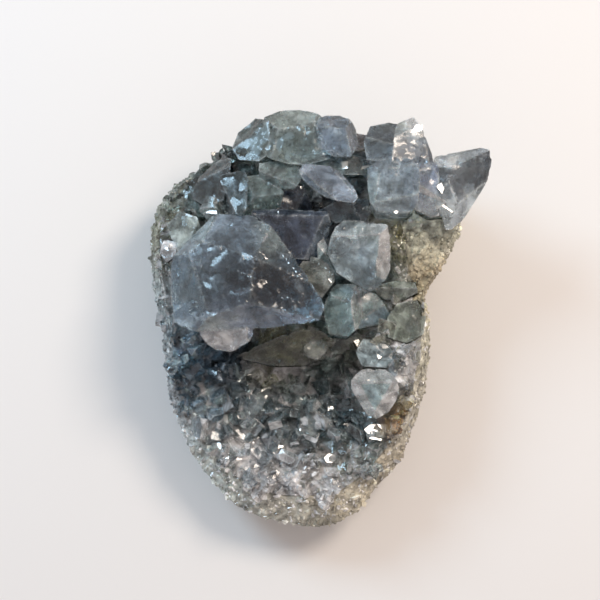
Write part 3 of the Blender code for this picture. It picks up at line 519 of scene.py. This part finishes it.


# Each large crystal's slot, how much lighter it is painted than it looks, its tints by place, a frosted place
# with its reach, and how many more chips and flattened places it has than the others. The tints are the tones
# of the faces, so they hold painted light and shade as well as the crystal's own colour: faces painted
# lighter or darker by how the lamps fall on them, painted reflections, and painted shade in recesses and
# under overhangs.
LARGE = {
    "great_crystal": dict(slot="deep_blue", gain=4.2, tints=[
        (-29, 21, 4.5, (116, 128, 138)), (-20, 19, 3.5, (70, 80, 90)), (-24, 10, 4.5, (20, 22, 28)),
        (-19, 6, 4, (28, 31, 40)), (-36, 9, 4, (70, 84, 93)), (-36, -1, 3, (96, 112, 124)),
        # Painted reflection: the pale tints at (-26, -5) and (-22, 1) light the face that slopes to the
        # south.
        (-26, -5, 4, (150, 152, 164)), (-22, 1, 3, (120, 120, 130)), (-12, 12, 4, (8, 15, 21)),
        (-8, 7, 4, (14, 22, 28)), (-5, 1, 3, (42, 48, 48)), (-13, 0, 3, (58, 68, 80)),
        (-14, 21, 2.5, (150, 156, 146)), (-33, 16, 3, (96, 108, 118)), (-27, 15, 2.5, (96, 102, 110)),
        (-10, 15, 1.6, (60, 74, 86)),
    ]),
    "dark_crystal": dict(slot="dark", gain=4.2, tints=[
        (-12, 25, 5, (66, 73, 84)), (-6, 24, 5, (56, 58, 69)), (-6, 18, 4, (46, 54, 66)),
        # Painted shade: the dark tint at (-6, 31) darkens the pit between the crystals.
        (1, 22, 2.0, (106, 114, 120)), (-6, 31, 3, (34, 40, 46)), (7, 28, 4, (58, 66, 70)),
    ]),
    "rib_crystals": dict(slot="dark", gain=4.0, tints=[
        (-2, 11, 3, (104, 100, 92)), (2, 14, 3, (124, 130, 126)),
    ]),
    "blade_crystal": dict(slot="hazy", gain=4.0, tints=[
        (2, 34, 4, (110, 114, 120)), (7, 32, 3, (122, 124, 130)),
    ]),
    "upper_left_crystals": dict(slot="dark", gain=5.0, tints=[
        (-29, 29, 2, (120, 126, 124)), (-22, 31, 4, (18, 26, 32)), (-15, 31, 4, (82, 94, 91)),
        (-10, 37, 4, (86, 92, 89)), (-28, 36, 4, (40, 46, 46)),
    ]),
    "top_crystals": dict(slot="hazy", gain=4.0, frosted=(-12, 47, 5), tints=[
        (-18, 47, 4, (50, 56, 53)), (-8, 47, 5, (58, 65, 62)), (-3, 43, 3, (80, 85, 82)),
        (5, 47, 4, (84, 91, 103)), (8, 50, 3, (60, 68, 74)), (11, 47, 2, (92, 78, 72)),
        (6, 40, 4, (96, 104, 100)), (-6, 54, 3, (120, 124, 118)),
    ]),
    "top_right_crystals": dict(slot="hazy", gain=4.0, frosted=(27, 46, 5), tints=[
        # Painted highlight: the pale tint at (26.5, 51.5) lies under a glint.
        (18, 46, 4, (62, 68, 73)), (27, 44, 5, (44, 51, 62)), (26.5, 51.5, 2.0, (165, 167, 162)),
        (20, 33, 5, (118, 126, 130)), (20, 38, 3, (126, 132, 138)), (30, 34, 4, (128, 132, 146)),
        (32, 29, 3, (150, 152, 156)),
    ]),
    "corner_crystal": dict(slot="hazy", gain=4.0, tints=[
        # Painted light and shade: the pale tints at (38, 41.5), (39, 28) and (34, 25) and the dark ones at
        # (40, 36) and (36, 34) give its faces the lamps' light and shade.
        (38, 41.5, 2.5, (130, 134, 137)), (40, 36, 4, (10, 15, 21)), (36, 34, 3, (18, 26, 34)),
        (39, 28, 3, (132, 136, 139)), (34, 25, 3, (136, 138, 132)),
    ]),
    "middle_crystal": dict(slot="dark", gain=5.0, tints=[
        (8, 22, 4, (118, 118, 115)), (14, 23, 3, (130, 136, 142)), (8, 15, 4, (74, 83, 86)),
        (14, 12, 4, (84, 96, 101)), (15, 18, 3, (124, 133, 142)),
    ]),
    "pale_blue_crystal": dict(slot="hazy", gain=5.0, tints=[
        (6, 2, 4, (100, 116, 121)), (10, 6, 3, (130, 140, 142)), (15, 2, 3, (96, 108, 114)),
    ]),
    "ledge_crystal": dict(slot="dark", gain=5.0, chips=3, facets=3, tints=[
        # Partly its own dark colour and partly painted shade: the dark tint at (-15, -9) darkens the ledge
        # under the great crystal's overhang.
        (-15, -9, 5, (34, 40, 39)), (-7, -8, 4, (62, 60, 42)), (-1, -8, 2.0, (124, 126, 122)),
        (2, -6, 2.5, (60, 56, 45)),
    ]),
    "cup_crystal": dict(slot="hazy", gain=5.5, tints=[
        (15, -20, 4, (98, 112, 117)), (12, -16, 3, (126, 134, 136)), (19, -20, 3, (128, 138, 144)),
    ]),
    "left_rim_crystals": dict(slot="pale", gain=2.5, tints=[
        (-36, 22, 4, (142, 146, 140)), (-40, 18, 2, (190, 196, 202)),
    ]),
    "right_rear_crystal": dict(slot="pale", gain=2.5, tints=[(20, 8, 4, (114, 118, 110))]),
    "right_rim_crystal": dict(slot="pale", gain=2.5, tints=[(24, -1, 5, (116, 120, 110))]),
    "right_front_crystal": dict(slot="pale", gain=2.5, tints=[(15, -9, 4, (122, 132, 134))]),
}


def large_crystal(node, look, seed):
    """A large crystal's looks: tints with the painted light and shade of its faces, paler where it is cloudy,
    and paler along sharp edges as wear and a painted highlight.
    """
    points, faces, facets, away = worn(node, seed, look)
    strayed = points.copy()
    strayed[:, :2] += 1.4 * np.stack([clouds(points, 5, 31), clouds(points, 5, 32)], axis=1)
    # Each facet takes the tint at its middle, so the faces keep the light and shade painted into the tints.
    whole = blended(look["tints"], facet_middles(points, faces, facets))
    tints = 0.4 * blended(look["tints"], strayed) + 0.6 * by_facet(points, faces, facets, whole)
    tints *= look["gain"] * np.array(COOLER) * facet_tones(points, faces, facets, 0.12, seed)
    # Paler along sharp edges: chipped and worn, with a painted highlight on the ridges. Paler in cloudy
    # patches too.
    edge = np.exp(-away / 0.25) * np.clip(0.6 + clouds(points, 2.5, 33), 0, 1)
    cloudy = np.clip(clouds(points, 3.4, 34) - 0.3, 0, 1) * 0.5
    pale = np.clip(0.75 * edge + cloudy, 0, 0.85)[:, None]
    tints = tints * (1 - pale) + FROST_AND_HIGHLIGHT * pale
    frosts = np.clip(0.2 + clouds(points, 4, 35), 0, 1) + edge
    if "frosted" in look:
        x, y, reach = look["frosted"]
        frosts += 2 * np.exp(-((flat_places(points) - (x, y)) ** 2).sum(axis=1) / reach ** 2)
    made = mesh_object(node + "_looks", points, faces, MATERIALS[look["slot"]], tints, frosts)
    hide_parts(node)
    return made


# Small crystals and grains, strewn in one mesh for each field

def cut_block(planes, band=0.0):
    """The convex body inside planes given as a point and a normal: its points, triangles and tones.

    A band sets each face off from its edges. The tone is -1 on an edge, and else the face's own share."""
    bm = bmesh.new()
    bmesh.ops.create_cube(bm, size=8)
    for point, normal in planes:
        everything = bm.verts[:] + bm.edges[:] + bm.faces[:]
        bmesh.ops.bisect_plane(bm, geom=everything, dist=1e-5, plane_co=point, plane_no=normal,
                               clear_outer=True)
        bmesh.ops.holes_fill(bm, edges=[edge for edge in bm.edges if edge.is_boundary], sides=0)
    bmesh.ops.dissolve_degenerate(bm, dist=1e-3, edges=bm.edges)
    bmesh.ops.recalc_face_normals(bm, faces=bm.faces)
    faces = bm.faces[:]
    if band:
        bmesh.ops.inset_individual(bm, faces=faces, thickness=band, use_even_offset=False)
    bm.verts.index_update()
    tones = -np.ones(len(bm.verts))
    for number, face in enumerate(faces):
        for vert in face.verts:
            if band:
                tones[vert.index] = (number * 0.618) % 1
    bmesh.ops.triangulate(bm, faces=bm.faces)
    verts = np.array([vert.co[:] for vert in bm.verts])
    triangles = np.array([[vert.index for vert in face.verts] for face in bm.faces])
    bm.free()
    return verts, triangles, tones


def crystal_forms(count, seed):
    """Chisel-tipped prisms of unit half width, along +Z and standing on the origin."""
    rng = random.Random(seed)
    forms = []
    for _ in range(count):
        deep = rng.uniform(0.6, 1.0)
        tall = rng.uniform(0.7, 1.7)
        ridge = rng.uniform(-0.4, 0.4)
        slope = rng.uniform(0.7, 1.05)
        side = rng.uniform(-0.3, 0.3)
        tip = Vector((0, ridge * deep, tall))
        planes = [
            (Vector((1, 0, 0)), Vector((1, 0, 0))), (Vector((-1, 0, 0)), Vector((-1, 0, 0))),
            (Vector((0, deep, 0)), Vector((0, 1, 0))), (Vector((0, -deep, 0)), Vector((0, -1, 0))),
            (Vector((0.72, 0.72 * deep, 0)), Vector((0.8, 1, 0)).normalized()),
            (Vector((-0.8, 0.8 * deep, 0)), Vector((-0.9, 1, 0)).normalized()),
            (tip, Vector((side, math.sin(slope), math.cos(slope))).normalized()),
            (tip, Vector((0.2, -math.sin(slope), math.cos(slope))).normalized()),
            (Vector((0.4, 0, 0.95 * tall)), Vector((0.75, rng.uniform(-0.3, 0.3), 0.7)).normalized()),
            (Vector((0, 0, -0.8)), Vector((0, 0, -1))),
        ]
        forms.append(cut_block(planes, band=0.07))
    return forms


def grain_forms(count, seed):
    """Broken grains: unit balls cut by random planes."""
    rng = random.Random(seed)
    forms = []
    for _ in range(count):
        ways = itertools.product((-1, 0, 1), repeat=3)
        normals = [Vector(way) for way in ways if sum(map(abs, way)) == 1]
        normals += [Vector([rng.gauss(0, 1) for _ in range(3)]).normalized() for _ in range(9)]
        forms.append(cut_block([(normal * rng.uniform(0.6, 0.95), normal) for normal in normals]))
    return forms


def surface_samples(mesh, count, rng):
    """Points spread evenly over a mesh's triangles, in millimetres, with the faces' normals."""
    mesh.calc_loop_triangles()
    corners = np.empty(len(mesh.loop_triangles) * 3, dtype=np.int64)
    mesh.loop_triangles.foreach_get("vertices", corners)
    points = np.empty(len(mesh.vertices) * 3)
    mesh.vertices.foreach_get("co", points)
    triangles = points.reshape(-1, 3)[corners.reshape(-1, 3)] / MM
    across = np.cross(triangles[:, 1] - triangles[:, 0], triangles[:, 2] - triangles[:, 0])
    area = np.linalg.norm(across, axis=1)
    chosen = rng.choice(len(area), size=count, p=area / area.sum())
    u, v = rng.random(count), rng.random(count)
    over = u + v > 1
    u[over], v[over] = 1 - u[over], 1 - v[over]
    a, b, c = triangles[chosen].transpose(1, 0, 2)
    return a + u[:, None] * (b - a) + v[:, None] * (c - a), across[chosen] / area[chosen][:, None]


def strewn(name, forms, spots, material, edges=1.0, faces_from=0.35, faces_to=1.6):
    """One mesh of many small bodies.

    A spot is a place, an up direction, a turn, three sizes, a tint and a frost.
    Tints are scaled by edges on an edge, where a value above 1 paints a highlight, and by a share from
    faces_from to faces_to on a face."""
    all_verts, all_faces, all_tints, all_frosts = [], [], [], []
    start = 0
    for number, (place, up, turn, sizes, tint, frost) in enumerate(spots):
        verts, faces, tones = forms[number % len(forms)]
        matrix = up.to_track_quat("Z", "Y").to_matrix() @ Matrix.Rotation(turn, 3, "Z")
        moved = (verts * np.array(sizes)) @ np.array(matrix).T + np.array(place)
        share = (tones + number * 0.377) % 1
        scale = np.where(tones < 0, edges, faces_from + (faces_to - faces_from) * share ** 1.5)
        all_verts.append(moved)
        all_faces.append(faces + start)
        all_tints.append(np.array(tint)[None] * scale[:, None])
        all_frosts.append(np.full(len(verts), frost))
        start += len(verts)
    made = mesh_object(name, np.concatenate(all_verts), np.concatenate(all_faces), material,
                       np.concatenate(all_tints), np.concatenate(all_frosts), smooth_below=5)
    return made


def thinned(places, spacings):
    """The indices of places that keep their distance from each other. A spacing of 0 drops a place."""
    cell = float(spacings.max())
    kept, grid = [], {}
    around = list(itertools.product((-1, 0, 1), repeat=3))
    keys = np.floor(places / cell).astype(int)
    for i in np.flatnonzero(spacings > 0):
        a, b, c = keys[i]
        x, y, z = places[i]
        least = spacings[i] ** 2
        close = False
        for da, db, dc in around:
            for ox, oy, oz in grid.get((a + da, b + db, c + dc), ()):
                if (ox - x) ** 2 + (oy - y) ** 2 + (oz - z) ** 2 < least:
                    close = True
                    break
            if close:
                break
        if not close:
            kept.append(i)
            grid.setdefault((a, b, c), []).append((x, y, z))
    return kept


def crust_bed():
    """The crust's own solid, with edges painted paler, as wear and as a painted highlight."""
    points, faces, facets, ridge = solid("crystal_crust")
    near = tree_of([spot for spot, _ in ridge])
    points, faces, facets = refined(points, faces, facets, 1.5, near, 0.6, 0.4)
    away = distances(near, points)
    points += normals_of(points, faces) * (0.05 * (clouds(points, 1.8, 41) - 0.4))[:, None]
    strayed = points.copy()
    strayed[:, :2] += 2 * np.stack([clouds(points, 3, 42), clouds(points, 3, 43)], axis=1)
    tints = CLEAR_GAIN * blended(CRUST_TINTS, strayed) * facet_tones(points, faces, facets, 0.45, 44)
    # Paler along sharp edges: wear, and a painted highlight on the ridges.
    pale = np.clip(np.exp(-away / 0.25) * (0.5 + clouds(points, 2, 45)), 0, 1)[:, None] * 0.6
    tints = tints * (1 - pale) + FROST_AND_HIGHLIGHT * pale
    frosts = clouds(points, 1.8, 46)
    made = mesh_object("crystal_crust_looks", points, faces, MATERIALS["crust"], tints, frosts)
    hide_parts("crystal_crust")
    return made


def rind():
    """The rock with a granular, lumpy skin."""
    points, faces, facets, _ = solid("host_rock")
    points, faces, _ = refined(points, faces, facets, 1.0)
    rough = 0.6 * (clouds(points, 2.6, 51, octaves=4) - 0.5)
    points += normals_of(points, faces) * np.where(points[:, 2] > 0.3, rough, 0)[:, None]
    tints = 1.4 * blended(ROCK_TINTS, points) * np.clip(1 + 0.9 * clouds(points, 1.6, 52), 0.1, 2)[:, None]
    made = mesh_object("host_rock_looks", points, faces, MATERIALS["rind"], tints, np.ones(len(points)), 60)
    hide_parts("host_rock")
    return made


def tree_of_surfaces(objects):
    """A ray-casting tree of some objects in millimetres."""
    whole = bmesh.new()
    for piece in objects:
        whole.from_mesh(piece.data)
    bmesh.ops.scale(whole, vec=(1 / MM, 1 / MM, 1 / MM), verts=whole.verts)
    tree = bvhtree.BVHTree.FromBMesh(whole)
    whole.free()
    return tree


def open_above(place, tree, normal):
    """Whether nothing stands close over a place along its normal."""
    start = Vector(place) + Vector(normal) * 0.3
    return tree.ray_cast(start, Vector(normal), 4.0)[0] is None


# Millimetres between small crystals and grains, and the greatest half width of a small crystal.
RIM_SPACING, RIM_WIDEST = 1.9, 1.3
HOLLOW_SPACING, HOLLOW_WIDEST = 5.5, 2.3
RIND_SPACING, RIND_WIDEST = 1.2, 1.3


def crust_field(crust, solids):
    """Small crystals between the crust's own, large and sparse in the hollow, small and dense at the rim."""
    rng = np.random.default_rng(7)
    pick = random.Random(7)
    places, normals = surface_samples(crust.data, 20000, rng)
    at_rim = (places[:, 1] < -38) | (places[:, 0] < -34) | (places[:, 0] > 20) | (places[:, 1] > 44)
    spacings = np.where(at_rim, RIM_SPACING, HOLLOW_SPACING) * np.exp(rng.normal(0, 0.4, len(places)))
    spacings[normals[:, 2] < 0.1] = 0
    kept = [i for i in thinned(places, spacings) if open_above(places[i], solids, normals[i])]
    tints = CLEAR_GAIN * blended(CRUST_TINTS, places[kept]) * rng.uniform(0.7, 1.5, (len(kept), 1))
    spots = []
    for i, tint in zip(kept, tints):
        base = min(RIM_WIDEST if at_rim[i] else HOLLOW_WIDEST, spacings[i] * 0.46)
        up = Vector(normals[i]) + Vector((0, 0, 0.9)) + Vector([pick.gauss(0, 0.4) for _ in range(3)])
        size = [base * pick.uniform(*ends) for ends in ((0.8, 1.2), (0.8, 1.2), (0.7, 1.3))]
        turn = pick.uniform(0, math.tau)
        spots.append((places[i], up.normalized(), turn, size, tint, pick.gauss(0.1, 0.3)))
    # Edges 2.2 times lighter: a painted highlight along each small crystal's edges.
    return strewn("crust_crystals", crystal_forms(12, 3), spots, MATERIALS["small"], edges=2.2)


def rind_field(rock, solids):
    """Grains all over the rock's outside, and pale crystals on its shoulder."""
    rng = np.random.default_rng(11)
    pick = random.Random(11)
    places, normals = surface_samples(rock.data, 60000, rng)
    spacings = RIND_SPACING * np.exp(rng.normal(0, 0.35, len(places)))
    spacings[places[:, 2] < 0.9] = 0
    kept = [i for i in thinned(places, spacings) if open_above(places[i], solids, normals[i])]
    tints = blended(ROCK_TINTS, places[kept]) * rng.uniform(1.1, 2.8, (len(kept), 1))
    grains, crystals = [], []
    for i, tint in zip(kept, tints):
        on_mound = places[i][0] > 18 and places[i][1] > 7
        base = min(RIND_WIDEST, spacings[i] * 0.62)
        place = places[i] - normals[i] * base * 0.2
        if normals[i][2] > 0.3 and not on_mound and pick.random() < 0.8:
            up = Vector(normals[i]) + Vector([pick.gauss(0, 0.6) for _ in range(3)])
            size = [base * pick.uniform(*ends) for ends in ((0.8, 1.3), (0.8, 1.3), (0.4, 0.8))]
            turn = pick.uniform(0, math.tau)
            crystals.append((place, up.normalized(), turn, size, tint * 1.8, pick.random() * 0.6))
        else:
            up = Vector([pick.gauss(0, 1) for _ in range(3)]).normalized()
            size = [base * pick.uniform(0.7, 1.2) for _ in range(3)]
            grains.append((place, up, 0.0, size, tint, pick.random()))
    half = len(grains) // 2
    forms = grain_forms(14, 5)
    return [strewn("rind_grains_1", forms, grains[:half], MATERIALS["grain"]),
            strewn("rind_grains_2", forms, grains[half:], MATERIALS["grain"]),
            # The rim crystals' edges are 1.5 times lighter, a painted highlight.
            strewn("rim_crystals", crystal_forms(12, 9), crystals, MATERIALS["rim"], 1.5, 0.5, 1.5)]


# Small facets that flash, painted pale as highlights that a lamp also shines off: a lamp's name and corners
# on the measured plane, or a lamp's name and a scratch glint's ends and width.
FACETS = [
    ("cool_lamp", [(-30.5, 28.5), (-27.5, 30.3), (-27.3, 28.2)]),
    ("cool_lamp", [(5.5, 40.3), (8, 40.5), (8, 42.5), (5.6, 42.3)]),
    ("warm_lamp", [(11.5, 40.2), (14.5, 41), (14.3, 41.5), (12, 41.2)]),
    ("warm_lamp", [(25, 50.2), (28, 50.6), (28.4, 52.2), (26.5, 52.4)]),
    ("warm_lamp", [(12.5, -30), (14, -28.7), (18.3, -28.5), (18.3, -32), (15.5, -32.3), (13.5, -31)]),
    ("warm_lamp", [(13.8, -32.4), (17, -33), (17.2, -32.5), (14.5, -31.9)]),
    ("warm_lamp", [(1.7, -37.5), (2.8, -36.5), (4.6, -36.8), (5, -38), (3.6, -39), (2.2, -38.8)]),
    ("cool_lamp", [(-25.8, -26.2), (-24.6, -26), (-24.2, -28.3), (-25.6, -28.5)]),
    ("cool_lamp", [(-28, -29.5), (-27, -29.8), (-27.1, -31.5), (-27.9, -31.2)]),
    ("cool_lamp", [(-28.5, -33.6), (-26.4, -33.5), (-26, -35.2), (-27.8, -35.5)]),
    ("cool_lamp", [(-25, -37), (-24, -37.1), (-24.2, -38), (-25.1, -37.8)]),
    ("cool_lamp", [(-10.3, -20.3), (-8, -20.9), (-8.5, -22.1)]),
    ("warm_lamp", [(16, -9.7), (17.5, -10.2), (16.4, -11)]),
    ("warm_lamp", [(32, 35.7), (35, 38), (33.5, 33.7)]),
    ("warm_lamp", [(33, 31.3), (36.5, 29.2), (36.2, 28.6), (33.4, 30.5)]),
    ("warm_lamp", [(2.7, -23.6), (4.1, -23.7), (4.2, -25), (2.8, -24.9)]),
    ("cool_lamp", [(-5.2, -29.6), (-4.6, -29.8), (-4.9, -30.5)]),
    ("warm_lamp", [(-12.6, -34), (-9.4, -34.3), (-9.2, -36), (-12, -36.4)]),
    ("warm_lamp", [(2.6, 11), (3.9, 11.4), (3.6, 9.6)]),
    ("warm_lamp", [(20.4, 28.8), (21.2, 28.2), (22.4, 29.9), (21.3, 28.8)]),
    ("warm_lamp", [(7.2, -12.4), (9, -12.1), (10.6, -13.8), (9, -14.6)]),
    ("cool_lamp", [(-4.9, -21.2), (-4.4, -21.6), (-4.9, -21.9)]),
    ("cool_lamp", [(-2.1, -24.5), (-1.5, -24.8), (-2, -25.2)]),
    ("cool_lamp", [(-41.6, 18.9), (-40.7, 19.6), (-40.4, 18.3)]),
    ("cool_lamp", [(-36.6, -15.2), (-35.7, -15.8), (-36.5, -16.5)]),
]
SCRATCH_GLINTS = [
    ("warm_lamp", (-20.5, 17), (-19, 16), 0.25), ("warm_lamp", (-20.3, 16.2), (-18.8, 16.6), 0.25),
    ("warm_lamp", (-16, 18), (-13, 15.5), 0.3), ("warm_lamp", (-15.2, 17.8), (-13.6, 15.9), 0.2),
    ("cool_lamp", (-22, 13), (-19, 11.6), 0.2), ("cool_lamp", (-19, 11.6), (-16, 10.5), 0.25),
    ("warm_lamp", (-14, 10.3), (-13, 9.3), 0.3), ("cool_lamp", (-10, 6), (-8, 5.2), 0.25),
    ("cool_lamp", (-8.5, 5.8), (-6.4, 4.6), 0.3), ("warm_lamp", (-7, 4.8), (-4.4, 4), 0.25),
    ("cool_lamp", (-21.6, 4.6), (-20.8, 4.3), 0.25), ("warm_lamp", (-19.5, 4.9), (-18.9, 4.4), 0.25),
    ("cool_lamp", (-9.5, 17.5), (-5, 11), 0.35), ("cool_lamp", (-14, -3.1), (-8, -3.4), 0.22),
    ("warm_lamp", (7, 24.5), (12, 24), 0.3), ("warm_lamp", (12, 24), (18, 23), 0.3),
    ("warm_lamp", (-17, 25.2), (-13.6, 22.6), 0.3), ("warm_lamp", (-4.5, 36), (-1.4, 33.2), 0.5),
    ("cool_lamp", (-1.6, 33.4), (2.5, 30), 0.5), ("warm_lamp", (13.2, -16.6), (15, -16.9), 0.25),
    ("warm_lamp", (9, -19.5), (12.8, -26), 0.25), ("cool_lamp", (0, 15), (4.5, 11.3), 0.3),
    ("cool_lamp", (-19.4, -11.4), (-18.2, -13.6), 0.3), ("warm_lamp", (22.3, 14.8), (23.6, 13.4), 0.35),
    ("cool_lamp", (-11, 31.5), (-10.6, 28.5), 0.5),
]


PLATE_LIFT = 0.12
PLATE_DEPTH = 0.35


def flashing_facets(solids):
    """Thin closed plates on the surface, each turned so that a lamp shines off it towards the front, and
    painted pale as a highlight.
    """
    eye, up, back = camera_axes()
    shapes = list(FACETS)
    rng = random.Random(19)
    for lamp, a, b, width in SCRATCH_GLINTS:
        a, b = Vector(a), Vector(b)
        along = (b - a).normalized()
        across = Vector((along.y, -along.x))
        at = 0.0
        while at < (b - a).length:
            long = rng.uniform(0.3, 1.1)
            start = a + along * at + across * rng.gauss(0, 0.15)
            end = start + along * long + across * rng.gauss(0, 0.18)
            half = across * width * rng.uniform(0.15, 0.5)
            middle = start.lerp(end, rng.uniform(0.3, 0.7))
            corners = (start, middle + half, end, middle - half * 0.6)
            shapes.append((lamp, [tuple(corner) for corner in corners]))
            at += long + rng.uniform(0.3, 1.6)
    verts, faces = [], []
    for lamp, corners in shapes:
        azimuth, elevation, *_ = LAMPS[lamp]
        normal = (Vector(back) + direction(azimuth, elevation)).normalized()
        rays = []
        for x, y in [tuple(np.mean(corners, axis=0))] + corners:
            on_plane = np.array((x, 0, 25)) + up * y
            rays.append(Vector(on_plane - eye).normalized())
        hit = solids.ray_cast(Vector(eye), rays[0])[0]
        if hit is None:
            continue
        above = (hit + normal * PLATE_LIFT - Vector(eye)).dot(normal)
        tops = [Vector(eye) + ray * (above / ray.dot(normal)) for ray in rays[1:]]
        start, count = len(verts), len(tops)
        verts += tops + [top - normal * PLATE_DEPTH for top in tops]
        flat = (tops[1] - tops[0]).cross(tops[2] - tops[1]).dot(normal) > 0
        order = list(range(count)) if flat else list(range(count))[::-1]
        for i in range(1, count - 1):
            a, b, c = order[0], order[i], order[i + 1]
            faces += [(start + a, start + b, start + c),
                      (start + count + a, start + count + c, start + count + b)]
        for i in range(count):
            a, b = order[i], order[(i + 1) % count]
            faces += [(start + b, start + a, start + count + a),
                      (start + b, start + count + a, start + count + b)]
    points = np.array([vert[:] for vert in verts])
    # Painted highlight: the plates are near white so that they read as glints.
    pale = np.tile(linear(225, 225, 218), (len(points), 1))
    made = mesh_object("flashing_facets", points, np.array(faces), MATERIALS["mirror"], pale,
                       np.full(len(points), 0.1), smooth_below=5)
    return made


# Camera, lamps, floor

def direction(azimuth, elevation):
    a, e = math.radians(azimuth), math.radians(elevation)
    return Vector((math.cos(a) * math.cos(e), math.sin(a) * math.cos(e), math.sin(e)))


def add_camera():
    data = bpy.data.cameras.new("camera")
    data.lens = CAMERA_LENS
    data.clip_start = 0.01
    made = bpy.data.objects.new("camera", data)
    made.location = Vector(camera_axes()[0]) * MM
    made.rotation_euler = (math.radians(CAMERA_TILT), 0, 0)
    bpy.context.scene.collection.objects.link(made)
    bpy.context.scene.camera = made


def add_lamp(name, azimuth, elevation, away, width, watts, colour):
    data = bpy.data.lights.new(name, "AREA")
    data.shape = "DISK"
    data.size = width * MM
    data.energy = watts
    data.color = colour
    made = bpy.data.objects.new(name, data)
    toward = direction(azimuth, elevation)
    made.location = (toward * away + Vector((0, 0, 20))) * MM
    made.rotation_euler = toward.to_track_quat("Z", "Y").to_euler()
    bpy.context.scene.collection.objects.link(made)


def add_floor():
    mesh = bpy.data.meshes.new("floor")
    corners = [(x * FLOOR_HALF, y * FLOOR_HALF, 0) for x, y in ((-1, -1), (1, -1), (1, 1), (-1, 1))]
    mesh.from_pydata(corners, [], [(0, 1, 2, 3)])
    made = bpy.data.objects.new("floor", mesh)
    paper = bpy.data.materials.new("pale_paper")
    paper.use_nodes = True
    shader = paper.node_tree.nodes["Principled BSDF"]
    shader.inputs["Base Color"].default_value = (*FLOOR, 1)
    shader.inputs["Roughness"].default_value = 0.85
    shader.inputs["Specular IOR Level"].default_value = 0.2
    mesh.materials.append(paper)
    bpy.context.scene.collection.objects.link(made)


def add_world():
    """A pale room that is darker overhead, so that level faces look clear and slanting ones catch light."""
    world = bpy.data.worlds.new("studio")
    world.use_nodes = True
    tree = world.node_tree
    place = tree.nodes.new("ShaderNodeTexCoord")
    split = tree.nodes.new("ShaderNodeSeparateXYZ")
    tree.links.new(place.outputs["Generated"], split.inputs["Vector"])
    glow = ranged(tree, split.outputs["Z"], 0, 1, ROOM_LOW, ROOM_HIGH)
    tree.links.new(glow, tree.nodes["Background"].inputs["Strength"])
    tree.nodes["Background"].inputs["Color"].default_value = (*FILL, 1)
    bpy.context.scene.world = world
    bpy.context.scene.view_settings.view_transform = "Standard"


add_camera()
for lamp, values in LAMPS.items():
    add_lamp(lamp, *values)
add_floor()
add_world()

large = [large_crystal(node, look, seed) for seed, (node, look) in enumerate(LARGE.items(), 1)]
crust = crust_bed()
rock = rind()
all_solids = tree_of_surfaces(large + [crust, rock])
crust_field(crust, all_solids)
rind_field(rock, all_solids)
flashing_facets(all_solids)
